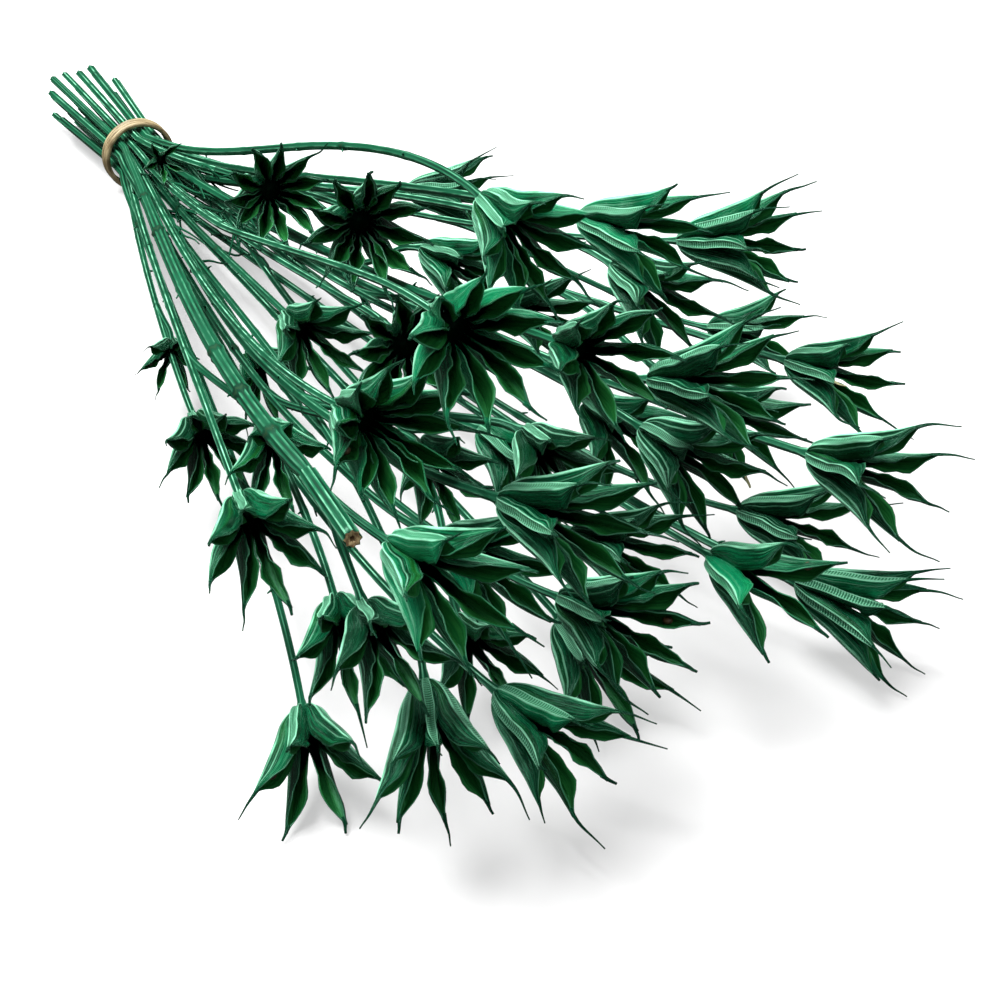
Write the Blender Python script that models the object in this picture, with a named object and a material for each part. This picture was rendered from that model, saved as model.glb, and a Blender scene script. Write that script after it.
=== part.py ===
"""A tied bunch of dried, dyed seed heads of oriental nigella (Nigella orientalis), lying on a table.

The stems run along Y: their cut ends are at +Y, a rubber band ties them, and from the band they
fan out towards -Y to the seed heads. Z is up and the table is the plane Z = 0. Every stem, with
the heads that grow on it, is one closed solid; the band is another.
"""

import math
import random

import bmesh
import bpy
import numpy as np
from mathutils import Matrix, Vector

MM = 0.001

# Driving dimensions, in millimetres and degrees.
STEM_RADIUS = 1.15
PEDICEL_RADIUS = 0.9
STEM_SHARES = (0.76, 1.0)
STEM_SIDES = 5
SMOOTH_BELOW = 75
STEM_PITCH = 2.75
SLOT_REACH = 2.9 * STEM_PITCH
TAIL_LENGTHS = (38, 60)
TAIL_SPLAY = 0.62
TIE_HEIGHT = 10.3
TIE_HALF_WIDTH = 6.0

# How a stem takes its place in the band: the middle height of the heads, and how far across and
# up its place lies for each unit of slope that it leaves at.
MIDDLE_HEIGHT = 38.0
SLOT_ACROSS = 26.0
SLOT_UP = 38.0

# How a centreline bends: its first direction, as shares of the straight one, and how strongly it
# keeps to its two end directions.
FAN = (1.15, 1.0, 0.5)
LEAVES = 0.9
ARRIVES = 0.75
BRANCH_ARRIVES = 0.6
SUNK_BY = 2.0

# The thick stalk: which stem it is, its radius where it is thickest, how far along it forks, and
# the way that its cut-off stub runs on from there.
STALK = 24
STALK_RADIUS = 1.7
STALK_SWELLS = (0.05, 0.3)
STALK_NARROWS = 0.05
STALK_FORK = 0.86
STUB = (-4, -31, 4)

BAND_TURNS = 3
BAND_CORD_RADIUS = 0.85
BAND_PITCH = 1.7 * BAND_CORD_RADIUS
BAND_GAP = 0.35
BAND_STEPS = 28

# A seed head's profile at size 1, as (radius, height): the keel, or back, of each follicle from
# the foot to the tip, then the groove and the lips of the slit that it opens by.
KEEL_LOW = (4.4, 4.2)
KEEL_FUSED = (6.9, 11.5)
KEEL_UPPER = (10.2, 20.6)
KEEL_TIP = (12.1, 24.8)
KEEL_HALF_WIDTH = 0.8
FOOT_RADIUS = 1.5
VALLEY_LOW = 2.5
VALLEY_FUSED = 2.2
CENTRE_HEIGHT = 10.0
GROOVE = (7.9, 18.2)
LIP = (6.9, 21.0)
LIP_HALF_GAP = 1.3
KEEL_SHARE = 0.36
LIP_SHARE = 0.44
SPREADS = (0.94, 1.06)
TALLS = (0.96, 1.04)
TIP_DEPTH = 0.75
BEAK_ROOT = 0.42
BEAK_LENGTHS = (4.0, 10.5)
BEAK_LEANS = (0.1, 0.5)
BEAK_ASIDE = 0.06
BEAK_SHORTER = 0.6
BEAK_BROKEN = 1.8
BROKEN_SHARE = 0.4

# How close things may lie, and how the bunch is settled until nothing touches. The head envelope
# is a row of balls along a head's axis, each as how far along it lies and its radius.
CLEARANCE = 0.45
CHORD_ERROR = 0.2
STEP = 9.0
SETTLE_ROUNDS = 520
LOOK_AGAIN = 10
WATCHED = 6.0
PUSH = 0.6
LIFT = 0.5
LONGEST_MOVE = 2.0
HEAD_GIVES = 0.35
TABLE_REACH = 0.92
HEAD_ENVELOPE = ((2.0, 2.8), (6.0, 5.8), (11.0, 8.0), (16.0, 10.3), (20.5, 12.4))

# Each stem's seed head: across, ahead of the band, up (mm), the way it faces (degrees to +X,
# degrees up), size, and number of follicles.
STEM_HEADS = (
    (4, 160, 50, -16, 14, 1.12, 11),
    (-22, 183, 45, -1, 5, 0.90, 8),
    (39, 108, 34, 46, 6, 0.80, 8),
    (7, 219, 78, 1, -4, 1.05, 10),
    (23, 228, 75, 24, 4, 0.95, 8),
    (61, 207, 55, 31, 14, 1.00, 9),
    (43, 211, 54, 9, -4, 0.95, 8),
    (79, 228, 30, 16, 8, 0.94, 8),
    (49, 282, 41, 15, 9, 1.00, 7),
    (51, 256, 13, 24, 9, 0.95, 7),
    (21, 294, 31, 7, 6, 1.00, 5),
    (46, 288, 14, 26, -1, 0.98, 9),
    (-24, 237, 63, -18, 19, 1.00, 10),
    (-32, 288, 85, -8, 12, 1.10, 10),
    (2, 264, 71, -1, 15, 1.00, 8),
    (17, 272, 59, 22, 16, 1.00, 8),
    (24, 262, 40, 8, 0, 1.00, 8),
    (-45, 272, 64, 0, 15, 1.10, 11),
    (-40, 175, 17, -9, 6, 0.90, 9),
    (-54, 242, 36, -9, 2, 1.00, 8),
    (-55, 281, 32, -14, 2, 0.90, 7),
    (-62, 282, 15, -15, -2, 0.95, 6),
    (-51, 306, 31, -17, -16, 0.98, 8),
    (-34, 308, 24, 14, -6, 0.98, 7),
    (-51, 313, 66, 7, 6, 1.05, 7),
    (-36, 292, 47, 12, 10, 1.00, 7),
    (-36, 308, 65, 17, 9, 1.00, 8),
    (-21, 298, 35, 13, 11, 1.02, 9),
    (-4, 278, 14, 0, -1, 1.00, 7),
    (30, 226, 31, 0, 0, 0.95, 7),
    (1, 274, 32, 18, 10, 0.90, 8),
)

# Each side branch: the stem it grows on, how far along that stem it leaves, then its head as above.
BRANCH_HEADS = (
    (0, 0.36, 0, 108, 40, -13, 16, 1.05, 11),
    (5, 0.60, 87, 178, 15, 29, 11, 0.85, 5),
    (19, 0.62, -41, 222, 36, -13, 4, 0.85, 7),
    (24, 0.86, -52, 301, 46, -8, 4, 0.90, 6),
    (28, 0.70, -22, 271, 14, -10, 4, 0.90, 7),
    (15, 0.55, 18, 208, 48, 12, 10, 0.80, 7),
    (18, 0.50, -31, 127, 14, -22, 4, 0.60, 6),
    (7, 0.60, 51, 232, 30, 15, -3, 0.95, 8),
    (26, 0.70, -7, 266, 51, -5, 0, 0.90, 7),
    (25, 0.62, -22, 248, 42, -8, 5, 0.85, 7),
    (13, 0.08, -9, 50, 29, -10, 15, 0.50, 5),
    (29, 0.48, 25, 149, 36, 14, -2, 0.90, 8),
    (30, 0.70, -5, 242, 40, 10, -4, 0.90, 7),
    (27, 0.33, -19, 140, 14, -4, 2, 0.80, 7),
)


def facing(turn, tilt):
    """The unit vector that a head faces along: turned towards +X from -Y, and tilted up."""
    turn, tilt = math.radians(turn), math.radians(tilt)
    return np.array(
        (math.sin(turn) * math.cos(tilt), -math.cos(turn) * math.cos(tilt), math.sin(tilt))
    )


def unit(vector):
    """The vector at length 1."""
    return vector / np.linalg.norm(vector)


def hexagon_slots():
    """The places of 31 stems in the band: three rings of a hexagon about one stem, less its corners."""
    slots = []
    for row in range(-3, 4):
        for place in range(-3, 4):
            across = (place + 0.5 * row) * STEM_PITCH
            up = row * STEM_PITCH * math.sin(math.radians(60))
            if abs(place + row) <= 3 and math.hypot(across, up) < SLOT_REACH:
                slots.append((across, up))
    return slots


def share_slots(heads):
    """Gives each stem the free slot that lies most nearly the way its head does, outer heads first."""
    free = hexagon_slots()
    ways = []
    for across, ahead, up, *_ in heads:
        ways.append(np.array((across * SLOT_ACROSS, (up - MIDDLE_HEIGHT) * SLOT_UP)) / ahead)
    chosen = [None] * len(heads)
    for index in sorted(range(len(heads)), key=lambda i: -np.linalg.norm(ways[i])):
        best = min(free, key=lambda slot: math.dist(slot, ways[index]))
        free.remove(best)
        chosen[index] = best
    return chosen


def hermite(start, start_slope, end, end_slope, count):
    """Points along the cubic that leaves start along one slope and reaches end along the other."""
    t = np.linspace(0.0, 1.0, count)[:, None]
    return (
        (2 * t**3 - 3 * t**2 + 1) * start
        + (t**3 - 2 * t**2 + t) * start_slope
        + (-2 * t**3 + 3 * t**2) * end
        + (t**3 - t**2) * end_slope
    )


def first_routes():
    """Every stem's and branch's centreline before settling, from its root to its head's foot."""
    routes = []
    for slot, head in zip(share_slots(STEM_HEADS), STEM_HEADS):
        across, ahead, up, turn, tilt, size, count = head
        start = np.array((slot[0], -TIE_HALF_WIDTH, TIE_HEIGHT + slot[1]))
        end = np.array((across, -ahead, up), float)
        span = np.linalg.norm(end - start)
        leaves = unit((end - start) * FAN)
        points = hermite(
            start, leaves * LEAVES * span, end, facing(turn, tilt) * ARRIVES * span,
            round(span / STEP) + 1,
        )
        routes.append({"points": points, "head": (turn, tilt, size, count), "on": None})
    for on, share, across, ahead, up, turn, tilt, size, count in BRANCH_HEADS:
        trunk = routes[on]["points"]
        fork = round(share * (len(trunk) - 1))
        start = trunk[fork]
        end = np.array((across, -ahead, up), float)
        span = np.linalg.norm(end - start)
        leaves = unit(trunk[fork + 1] - trunk[fork])
        points = hermite(
            start, leaves * LEAVES * span, end, facing(turn, tilt) * BRANCH_ARRIVES * span,
            max(3, round(span / STEP)) + 1,
        )
        routes.append({"points": points, "head": (turn, tilt, size, count), "on": (on, fork)})
    return routes


def stem_radius(index):
    """The greatest radius of a stem."""
    return STALK_RADIUS if index == STALK else STEM_RADIUS


def balls_of(routes):
    """The balls that stand for stems and heads: weights on the points, offsets, radii and owners."""
    starts = np.cumsum([0] + [len(route["points"]) for route in routes])
    weights, offsets, radii, chains, heads = [], [], [], [], []
    for index, route in enumerate(routes):
        for step in range(len(route["points"]) - 1):
            for share in (0.0, 0.5):
                row = np.zeros(starts[-1])
                row[starts[index] + step] = 1 - share
                row[starts[index] + step + 1] = share
                weights.append(row)
                offsets.append(np.zeros(3))
                radii.append(stem_radius(index))
                chains.append(index)
                heads.append(False)
        turn, tilt, size, _ = route["head"]
        for along, radius in HEAD_ENVELOPE:
            row = np.zeros(starts[-1])
            row[starts[index + 1] - 1] = 1
            weights.append(row)
            offsets.append(facing(turn, tilt) * along * size)
            radii.append(radius * size)
            chains.append(index)
            heads.append(True)
    chains = np.array(chains)
    family = np.array([r["on"][0] if r["on"] else i for i, r in enumerate(routes)])[chains]
    return (
        np.array(weights), np.array(offsets), np.array(radii) + CLEARANCE, chains, family,
        np.array(heads), starts,
    )


def near_pairs(place, reach, chains, family, heads):
    """The pairs of balls that could come to touch: of two stems, or two heads of one stem."""
    square = (place**2).sum(1)
    apart = np.sqrt(np.clip(square[:, None] + square[None] - 2 * place @ place.T, 0, None))
    near = apart < reach[:, None] + reach[None] + WATCHED
    strangers = family[:, None] != family[None]
    strangers |= heads[:, None] & heads[None] & (chains[:, None] != chains[None])
    return np.nonzero(np.triu(near & strangers))


def settle(routes):
    """Bends the stems apart, smoothly, until no stem or head lies in another or in the table."""
    weights, offsets, reach, chains, family, heads, starts = balls_of(routes)
    points = np.concatenate([route["points"] for route in routes])
    shift = np.zeros_like(points)
    gives = np.where(heads, HEAD_GIVES, 1.0)
    for turn_number in range(SETTLE_ROUNDS):
        place = weights @ (points + shift) + offsets
        if turn_number % LOOK_AGAIN == 0:
            first, second = near_pairs(place, reach, chains, family, heads)
        line = place[first] - place[second]
        gap = np.linalg.norm(line, axis=1) + 1e-9
        depth = np.clip(reach[first] + reach[second] - gap, 0.0, None)
        push = line / gap[:, None] * (PUSH * depth / (gives[first] + gives[second]))[:, None]
        moved = np.zeros_like(place)
        np.add.at(moved, first, push * gives[first, None])
        np.add.at(moved, second, -push * gives[second, None])
        moved[:, 2] += LIFT * np.clip(TABLE_REACH * reach - place[:, 2], 0.0, None)
        shift += np.clip(weights.T @ moved, -LONGEST_MOVE, LONGEST_MOVE)
        for index, route in enumerate(routes):
            part = shift[starts[index] : starts[index + 1]]
            part[0] = 0.0 if route["on"] is None else shift[starts[route["on"][0]] + route["on"][1]]
            padded = np.concatenate((part, part[-1:]))
            part[1:] = 0.5 * part[1:] + 0.25 * (padded[:-2] + padded[2:])
    settled = points + shift
    return [
        {**route, "points": settled[starts[i] : starts[i + 1]]} for i, route in enumerate(routes)
    ]


def simplified(points, error):
    """The fewest points of a line that keep it within an error, always with its ends."""
    start, end = points[0], points[-1]
    along = unit(end - start)
    off = (points - start) - ((points - start) @ along)[:, None] * along
    far = np.linalg.norm(off, axis=1)
    worst = int(far.argmax())
    if len(points) < 3 or far[worst] < error:
        return np.array((start, end))
    first = simplified(points[: worst + 1], error)
    return np.concatenate((first[:-1], simplified(points[worst:], error)))


def frame_along(points):
    """For each point of a line, two unit vectors across it that turn as little as they can."""
    steps = np.diff(points, axis=0)
    steps /= np.linalg.norm(steps, axis=1)[:, None]
    ahead = np.concatenate((steps[:1], steps[:-1] + steps[1:], steps[-1:]))
    ahead /= np.linalg.norm(ahead, axis=1)[:, None]
    side = np.cross(ahead[0], (0.0, 0.0, 1.0))
    sides = []
    for way in ahead:
        side = unit(side - way * (side @ way))
        sides.append(side)
    return np.array(sides), np.cross(ahead, np.array(sides))


def tube(name, points, radii, sides=STEM_SIDES):
    """A capped tube with few sides, along points, as an object."""
    across, over = frame_along(points)
    shape = bmesh.new()
    rings = []
    for place, u, v, radius in zip(points, across, over, radii):
        ring = []
        for side in range(sides):
            angle = 2 * math.pi * side / sides
            corner = place + radius * (math.cos(angle) * u + math.sin(angle) * v)
            ring.append(shape.verts.new(corner * MM))
        rings.append(ring)
    for low, high in zip(rings, rings[1:]):
        for side in range(sides):
            after = (side + 1) % sides
            shape.faces.new((low[side], low[after], high[after], high[side]))
    shape.faces.new(rings[0])
    shape.faces.new(rings[-1])
    bmesh.ops.recalc_face_normals(shape, faces=shape.faces)
    return add_object(name, shape)


def add_object(name, shape):
    """Makes a mesh object of a bmesh and links it to the scene."""
    mesh = bpy.data.meshes.new(name)
    shape.to_mesh(mesh)
    shape.free()
    thing = bpy.data.objects.new(name, mesh)
    bpy.context.scene.collection.objects.link(thing)
    return thing


def head_frame(foot, turn, tilt, size, roll):
    """The matrix from a head's own frame, foot at zero and facing +Z, to the bunch, in metres."""
    up = Vector(facing(turn, tilt))
    side = up.cross(Vector((0, 0, 1))).normalized()
    turned = Matrix((side, up.cross(side), up)).transposed().to_4x4()
    return (
        Matrix.Translation(Vector(foot) * MM) @ turned @ Matrix.Rotation(roll, 4, "Z")
        @ Matrix.Scale(size * MM, 4)
    )


def cup(shape, point, count, keel):
    """The joined lower half of a head, from its foot to the ring where the follicles part."""
    pitch = 2 * math.pi / count
    foot = [point(FOOT_RADIUS, 0, i * pitch) for i in range(count)]
    rings = []
    for (radius, height), valley in ((KEEL_LOW, VALLEY_LOW), (KEEL_FUSED, VALLEY_FUSED)):
        ring = []
        for i in range(count):
            left = point(radius, height, i * pitch, -keel)
            right = point(radius, height, i * pitch, keel)
            ring.append((left, right, point(valley, height, (i + 0.5) * pitch)))
        rings.append(ring)
    low, fused = rings
    for i in range(count):
        after = (i + 1) % count
        left, right, valley = low[i]
        shape.faces.new((foot[i], left, right))
        shape.faces.new((foot[i], right, valley))
        shape.faces.new((foot[i], valley, foot[after]))
        shape.faces.new((foot[after], valley, low[after][0]))
        for a, b, c, d in (
            (left, right, fused[i][1], fused[i][0]),
            (right, valley, fused[i][2], fused[i][1]),
            (valley, low[after][0], fused[after][0], fused[i][2]),
        ):
            shape.faces.new((a, b, c))
            shape.faces.new((a, c, d))
    shape.faces.new(foot)
    return fused


def beak_end(place, angle, spread, tall, others, draw):
    """The far end of a beak: as long as it grew, or broken short where it would reach a neighbour."""
    balls, reach = others
    lean = draw.uniform(*BEAK_LEANS)
    aside = angle + draw.uniform(-BEAK_ASIDE, BEAK_ASIDE)
    broken = draw.random() < BROKEN_SHARE
    grown = draw.uniform(*BEAK_LENGTHS)
    way = np.array((lean, math.sqrt(1 - lean**2)))
    root = np.array((KEEL_TIP[0] * spread, KEEL_TIP[1] * tall))
    for length in (BEAK_BROKEN,) if broken else (grown, BEAK_SHORTER * grown, BEAK_BROKEN):
        clear = True
        for share in (0.25, 0.5, 0.75, 1.0):
            radius, height = root + share * length * way
            spot = place @ Vector((radius * math.cos(aside), radius * math.sin(aside), height))
            apart = np.linalg.norm(balls - np.array(spot) / MM, axis=1)
            clear = clear and bool((apart > reach).all()) and spot.z > 0
        if clear:
            break
    return (radius, height, aside)


def follicle(shape, point, walls, centre, angle, keel, lip_gap, end, spread, tall):
    """The free upper part of one follicle: its keel, two lips, the groove between them and its beak."""
    before, left, right, after = walls
    upper, lips = [], []
    for way in (-1, 1):
        upper.append(point(KEEL_UPPER[0] * spread, KEEL_UPPER[1] * tall, angle, way * keel))
        lips.append(point(LIP[0] * spread, LIP[1] * tall, angle, way * lip_gap))
    groove = point(GROOVE[0] * spread, GROOVE[1] * tall, angle)
    tip = (
        point(KEEL_TIP[0] * spread, KEEL_TIP[1] * tall, angle, -BEAK_ROOT),
        point(KEEL_TIP[0] * spread, KEEL_TIP[1] * tall, angle, BEAK_ROOT),
        point((KEEL_TIP[0] - TIP_DEPTH) * spread, KEEL_TIP[1] * tall, angle),
    )
    beak = point(*end)
    for corners in (
        (left, right, upper[1]), (left, upper[1], upper[0]),
        (right, after, lips[1]), (right, lips[1], upper[1]),
        (after, centre, groove), (after, groove, lips[1]),
        (centre, before, lips[0]), (centre, lips[0], groove),
        (before, left, upper[0]), (before, upper[0], lips[0]),
        (upper[0], upper[1], tip[1]), (upper[0], tip[1], tip[0]),
        (upper[1], lips[1], tip[2]), (upper[1], tip[2], tip[1]),
        (lips[1], groove, tip[2]), (groove, lips[0], tip[2]),
        (lips[0], upper[0], tip[0]), (lips[0], tip[0], tip[2]),
        (tip[0], tip[1], beak), (tip[1], tip[2], beak), (tip[2], tip[0], beak),
    ):
        shape.faces.new(corners)


def seed_head(name, foot, head, others, draw):
    """One seed head: follicles round an axis, joined to half their height, each with slit and beak."""
    turn, tilt, size, count = head
    shape = bmesh.new()
    place = head_frame(foot, turn, tilt, size, draw.uniform(0, 2 * math.pi))

    def point(radius, height, angle, aside=0.0):
        x = radius * math.cos(angle) - aside * math.sin(angle)
        y = radius * math.sin(angle) + aside * math.cos(angle)
        return shape.verts.new(place @ Vector((x, y, height)))

    pitch = 2 * math.pi / count
    keel = min(KEEL_HALF_WIDTH, KEEL_SHARE * KEEL_LOW[0] * pitch)
    lip_gap = min(LIP_HALF_GAP, LIP_SHARE * LIP[0] * pitch)
    fused = cup(shape, point, count, keel)
    centre = point(0, CENTRE_HEIGHT, 0)
    for i in range(count):
        spread = draw.uniform(*SPREADS)
        tall = draw.uniform(*TALLS)
        walls = (fused[i - 1][2], *fused[i])
        end = beak_end(place, i * pitch, spread, tall, others, draw)
        follicle(shape, point, walls, centre, i * pitch, keel, lip_gap, end, spread, tall)
    bmesh.ops.recalc_face_normals(shape, faces=shape.faces)
    return add_object(name, shape)


def sunk(points, by):
    """The line with its last point pushed on along itself, so that it ends inside what it carries."""
    return np.concatenate((points[:-1], [points[-1] + unit(points[-1] - points[-2]) * by]))


def join(body, pieces):
    """One Boolean union of the pieces into the body, applied, with the pieces then removed."""
    group = bpy.data.collections.new("pieces")
    bpy.context.scene.collection.children.link(group)
    for piece in pieces:
        bpy.context.scene.collection.objects.unlink(piece)
        group.objects.link(piece)
    union = body.modifiers.new("union", "BOOLEAN")
    union.operation = "UNION"
    union.operand_type = "COLLECTION"
    union.collection = group
    union.solver = "MANIFOLD"
    graph = bpy.context.evaluated_depsgraph_get()
    joined = bpy.data.meshes.new_from_object(body.evaluated_get(graph))
    body.modifiers.clear()
    body.data = joined
    for piece in pieces:
        bpy.data.objects.remove(piece)
    bpy.data.collections.remove(group)


def flatten_on_table(thing):
    """Cuts away what would be under the table, which leaves a small flat spot where it rests."""
    shape = bmesh.new()
    shape.from_mesh(thing.data)
    if min(v.co.z for v in shape.verts) < 0:
        everything = shape.verts[:] + shape.edges[:] + shape.faces[:]
        bmesh.ops.bisect_plane(
            shape, geom=everything, plane_co=(0, 0, 0), plane_no=(0, 0, 1), clear_inner=True
        )
        bmesh.ops.holes_fill(shape, edges=[e for e in shape.edges if e.is_boundary], sides=0)
        shape.to_mesh(thing.data)
    shape.free()


def shade_round(mesh):
    """Shades the stems and the band as round, and keeps the heads' ribs and lips sharp."""
    mesh.shade_smooth()
    mesh.set_sharp_from_angle(angle=math.radians(SMOOTH_BELOW))


def stem_line(slot, route, length):
    """A stem's centreline from its cut tail, straight through the band, then along its route."""
    splay = 1 + TAIL_SPLAY * length / TAIL_LENGTHS[1]
    tail = (slot[0] * splay, length, TIE_HEIGHT + slot[1] * (1 + (splay - 1) * 0.5))
    behind = (slot[0], TIE_HALF_WIDTH, TIE_HEIGHT + slot[1])
    bend = simplified(route["points"], CHORD_ERROR)
    return sunk(np.concatenate(([tail, behind], bend)), SUNK_BY)


def stem_radii(index, line, stout):
    """The radius at each point of a stem: slightly tapered, and for the stalk swollen as well."""
    share = np.clip(-line[:, 1] / -line[-1, 1], 0, 1)
    taper = (STEM_RADIUS + (PEDICEL_RADIUS - STEM_RADIUS) * share) * stout
    if index == STALK:
        along = (*STALK_SWELLS, STALK_FORK, STALK_FORK + STALK_NARROWS)
        thick = np.interp(share, along, (0, 1, 1, 0))
        taper = taper + (STALK_RADIUS - taper) * thick
    return taper


def stem_with_heads(index, slot, routes, balls, draw):
    """One stem from its cut tail through the band to its head, with the branches that grow on it."""
    name = f"stem_{index + 1:02d}"
    places, reach, family = balls
    others = (places[family != index], reach[family != index])
    line = stem_line(slot, routes[index], draw.uniform(*TAIL_LENGTHS))
    stout = draw.uniform(*STEM_SHARES)
    body = tube(name, line, stem_radii(index, line, stout))
    route = routes[index]
    pieces = [seed_head(name + "_head", route["points"][-1], route["head"], others, draw)]
    for number, branch in enumerate(routes):
        if branch["on"] and branch["on"][0] == index:
            spur = sunk(simplified(branch["points"], CHORD_ERROR), SUNK_BY)
            radii = [PEDICEL_RADIUS * stout] * len(spur)
            pieces.append(tube(f"{name}_branch_{number}", spur, radii))
            foot = branch["points"][-1]
            pieces.append(seed_head(f"{name}_head_{number}", foot, branch["head"], others, draw))
    if index == STALK:
        points = routes[index]["points"]
        fork = points[round(STALK_FORK * (len(points) - 1))]
        stub = np.array((fork, fork + STUB))
        pieces.append(tube(name + "_stub", stub, [STALK_RADIUS] * 2, 2 * STEM_SIDES))
    join(body, pieces)
    return body


def tie_band():
    """The rubber band: three turns lying against each other round the stems, as one ring."""
    shape = bmesh.new()
    inner = max(math.hypot(*slot) for slot in hexagon_slots()) + STEM_RADIUS + BAND_GAP
    centre = inner + BAND_CORD_RADIUS
    places = [(turn - (BAND_TURNS - 1) / 2) * BAND_PITCH for turn in range(BAND_TURNS)]
    outline = []
    for along in places:
        outline += [(along, angle) for angle in (-40, 0, 40)]
    for along in reversed(places):
        outline += [(along, angle) for angle in (140, 180, 220)]
    corners = []
    for along, angle in outline:
        angle = math.radians(angle)
        y = along + BAND_CORD_RADIUS * math.sin(angle)
        z = centre + BAND_CORD_RADIUS * math.cos(angle)
        corners.append(shape.verts.new(Vector((0, y, z)) * MM))
    edges = [shape.edges.new((a, b)) for a, b in zip(corners, corners[1:] + corners[:1])]
    bmesh.ops.spin(
        shape, geom=corners + edges, cent=(0, 0, 0), axis=(0, 1, 0), angle=2 * math.pi,
        steps=BAND_STEPS, use_merge=True,
    )
    bmesh.ops.remove_doubles(shape, verts=shape.verts, dist=0.00001)
    bmesh.ops.recalc_face_normals(shape, faces=shape.faces)
    bmesh.ops.translate(shape, verts=shape.verts, vec=(0, 0, TIE_HEIGHT * MM))
    return add_object("tie_band", shape)


def finish_of(name, colour, roughness):
    """A plain finish of one colour."""
    finish = bpy.data.materials.new(name)
    finish.use_nodes = True
    surface = finish.node_tree.nodes["Principled BSDF"]
    surface.inputs["Base Color"].default_value = (*colour, 1)
    surface.inputs["Roughness"].default_value = roughness
    surface.inputs["Metallic"].default_value = 0.0
    return finish


def centre_on_origin(things):
    """Moves everything so that the origin is under the middle of the bunch's box, on the table."""
    corners = np.concatenate([[v.co[:] for v in t.data.vertices] for t in things])
    middle = (corners.min(0) + corners.max(0)) / 2
    for thing in things:
        thing.data.transform(Matrix.Translation((-middle[0], -middle[1], 0)))


def main():
    for thing in list(bpy.data.objects):
        bpy.data.objects.remove(thing)
    dyed = finish_of("dyed_pod", (0.012, 0.135, 0.062), 0.42)
    rubber = finish_of("rubber_band", (0.50, 0.39, 0.24), 0.55)
    draw = random.Random(11)
    slots = share_slots(STEM_HEADS)
    routes = settle(first_routes())
    weights, offsets, reach, _, family, _, _ = balls_of(routes)
    places = weights @ np.concatenate([route["points"] for route in routes]) + offsets
    things = []
    for index in range(len(STEM_HEADS)):
        stem = stem_with_heads(index, slots[index], routes, (places, reach, family), draw)
        stem.data.materials.clear()
        stem.data.materials.append(dyed)
        things.append(stem)
    band = tie_band()
    band.data.materials.append(rubber)
    things.append(band)
    for thing in things:
        flatten_on_table(thing)
        shade_round(thing.data)
    centre_on_origin(things)


main()
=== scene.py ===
# %% [markdown]
# # A tied bunch of dried nigella seed heads
# The bunch lies on a pale table: thin ribbed stems, held by a rubber band, fan out to seed heads
# that are shaped like shuttlecocks. The solids of the bunch are loaded first, as a frame that
# nothing here moves. Each of them is then replaced by a finer piece in the same place.

# %% Load the frame
import math
import random

import bmesh
import bpy
import numpy as np
from mathutils import Matrix, Vector


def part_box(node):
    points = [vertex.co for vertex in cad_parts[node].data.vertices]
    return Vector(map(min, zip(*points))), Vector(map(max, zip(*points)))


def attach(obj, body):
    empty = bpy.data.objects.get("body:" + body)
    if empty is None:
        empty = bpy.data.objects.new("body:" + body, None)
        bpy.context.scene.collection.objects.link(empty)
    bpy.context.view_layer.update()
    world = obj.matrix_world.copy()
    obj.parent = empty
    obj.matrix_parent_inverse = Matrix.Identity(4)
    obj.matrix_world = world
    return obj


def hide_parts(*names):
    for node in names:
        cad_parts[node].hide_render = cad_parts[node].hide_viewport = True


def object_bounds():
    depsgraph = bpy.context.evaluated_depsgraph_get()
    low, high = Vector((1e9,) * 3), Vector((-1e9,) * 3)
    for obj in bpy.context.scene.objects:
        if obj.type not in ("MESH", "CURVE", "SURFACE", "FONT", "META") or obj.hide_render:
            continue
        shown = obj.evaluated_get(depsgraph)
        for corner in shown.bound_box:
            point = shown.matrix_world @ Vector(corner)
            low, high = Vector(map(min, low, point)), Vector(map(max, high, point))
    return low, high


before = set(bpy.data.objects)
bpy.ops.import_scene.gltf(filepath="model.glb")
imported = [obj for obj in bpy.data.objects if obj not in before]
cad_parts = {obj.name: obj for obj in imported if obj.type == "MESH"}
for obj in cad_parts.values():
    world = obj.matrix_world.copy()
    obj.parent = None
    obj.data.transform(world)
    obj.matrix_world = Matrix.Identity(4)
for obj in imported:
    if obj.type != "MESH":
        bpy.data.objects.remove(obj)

CAD_BOX = [list(corner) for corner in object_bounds()]
MM = 0.001
print("frame:", len(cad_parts), "solids, box", np.round(CAD_BOX, 3).tolist())

# %% [markdown]
# ## The camera
# A long lens from about 0.8 m keeps the bunch's shape natural and still lets the near heads look
# larger than the band. The camera is placed from the middle of the rubber band, because the stems
# meet there and every other piece is measured from it.

# %% Camera
tie_low, tie_high = (np.array(corner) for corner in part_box("tie_band"))
TIE = (tie_low + tie_high) / 2
EYE_FROM_TIE = (-0.1965, -0.6548)
EYE_HEIGHT = 0.285
TURN = math.radians(25.5)
PITCH = math.radians(30.0)
LENS = 90.0

lens = bpy.data.cameras.new("camera")
lens.lens = LENS
lens.sensor_width = 36.0
camera = bpy.data.objects.new("camera", lens)
bpy.context.scene.collection.objects.link(camera)
camera.location = (TIE[0] + EYE_FROM_TIE[0], TIE[1] + EYE_FROM_TIE[1], EYE_HEIGHT)
ahead = Vector((math.sin(TURN) * math.cos(PITCH), math.cos(TURN) * math.cos(PITCH), -math.sin(PITCH)))
camera.rotation_euler = ahead.to_track_quat("-Z", "Y").to_euler()
bpy.context.scene.camera = camera
print("camera at", np.round(camera.location, 3).tolist())

# %% [markdown]
# ## The layout: where every stem and head lies
# The solids were laid out by a rule: each stem has a place in the band and a first curve to its
# head, and all the stems are then bent apart until none touches another. The finer pieces need the
# same centrelines, so the same rule and the same numbers are used again here. Lengths are in
# millimetres, and the origin is on the table, under the middle of the band.

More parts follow.
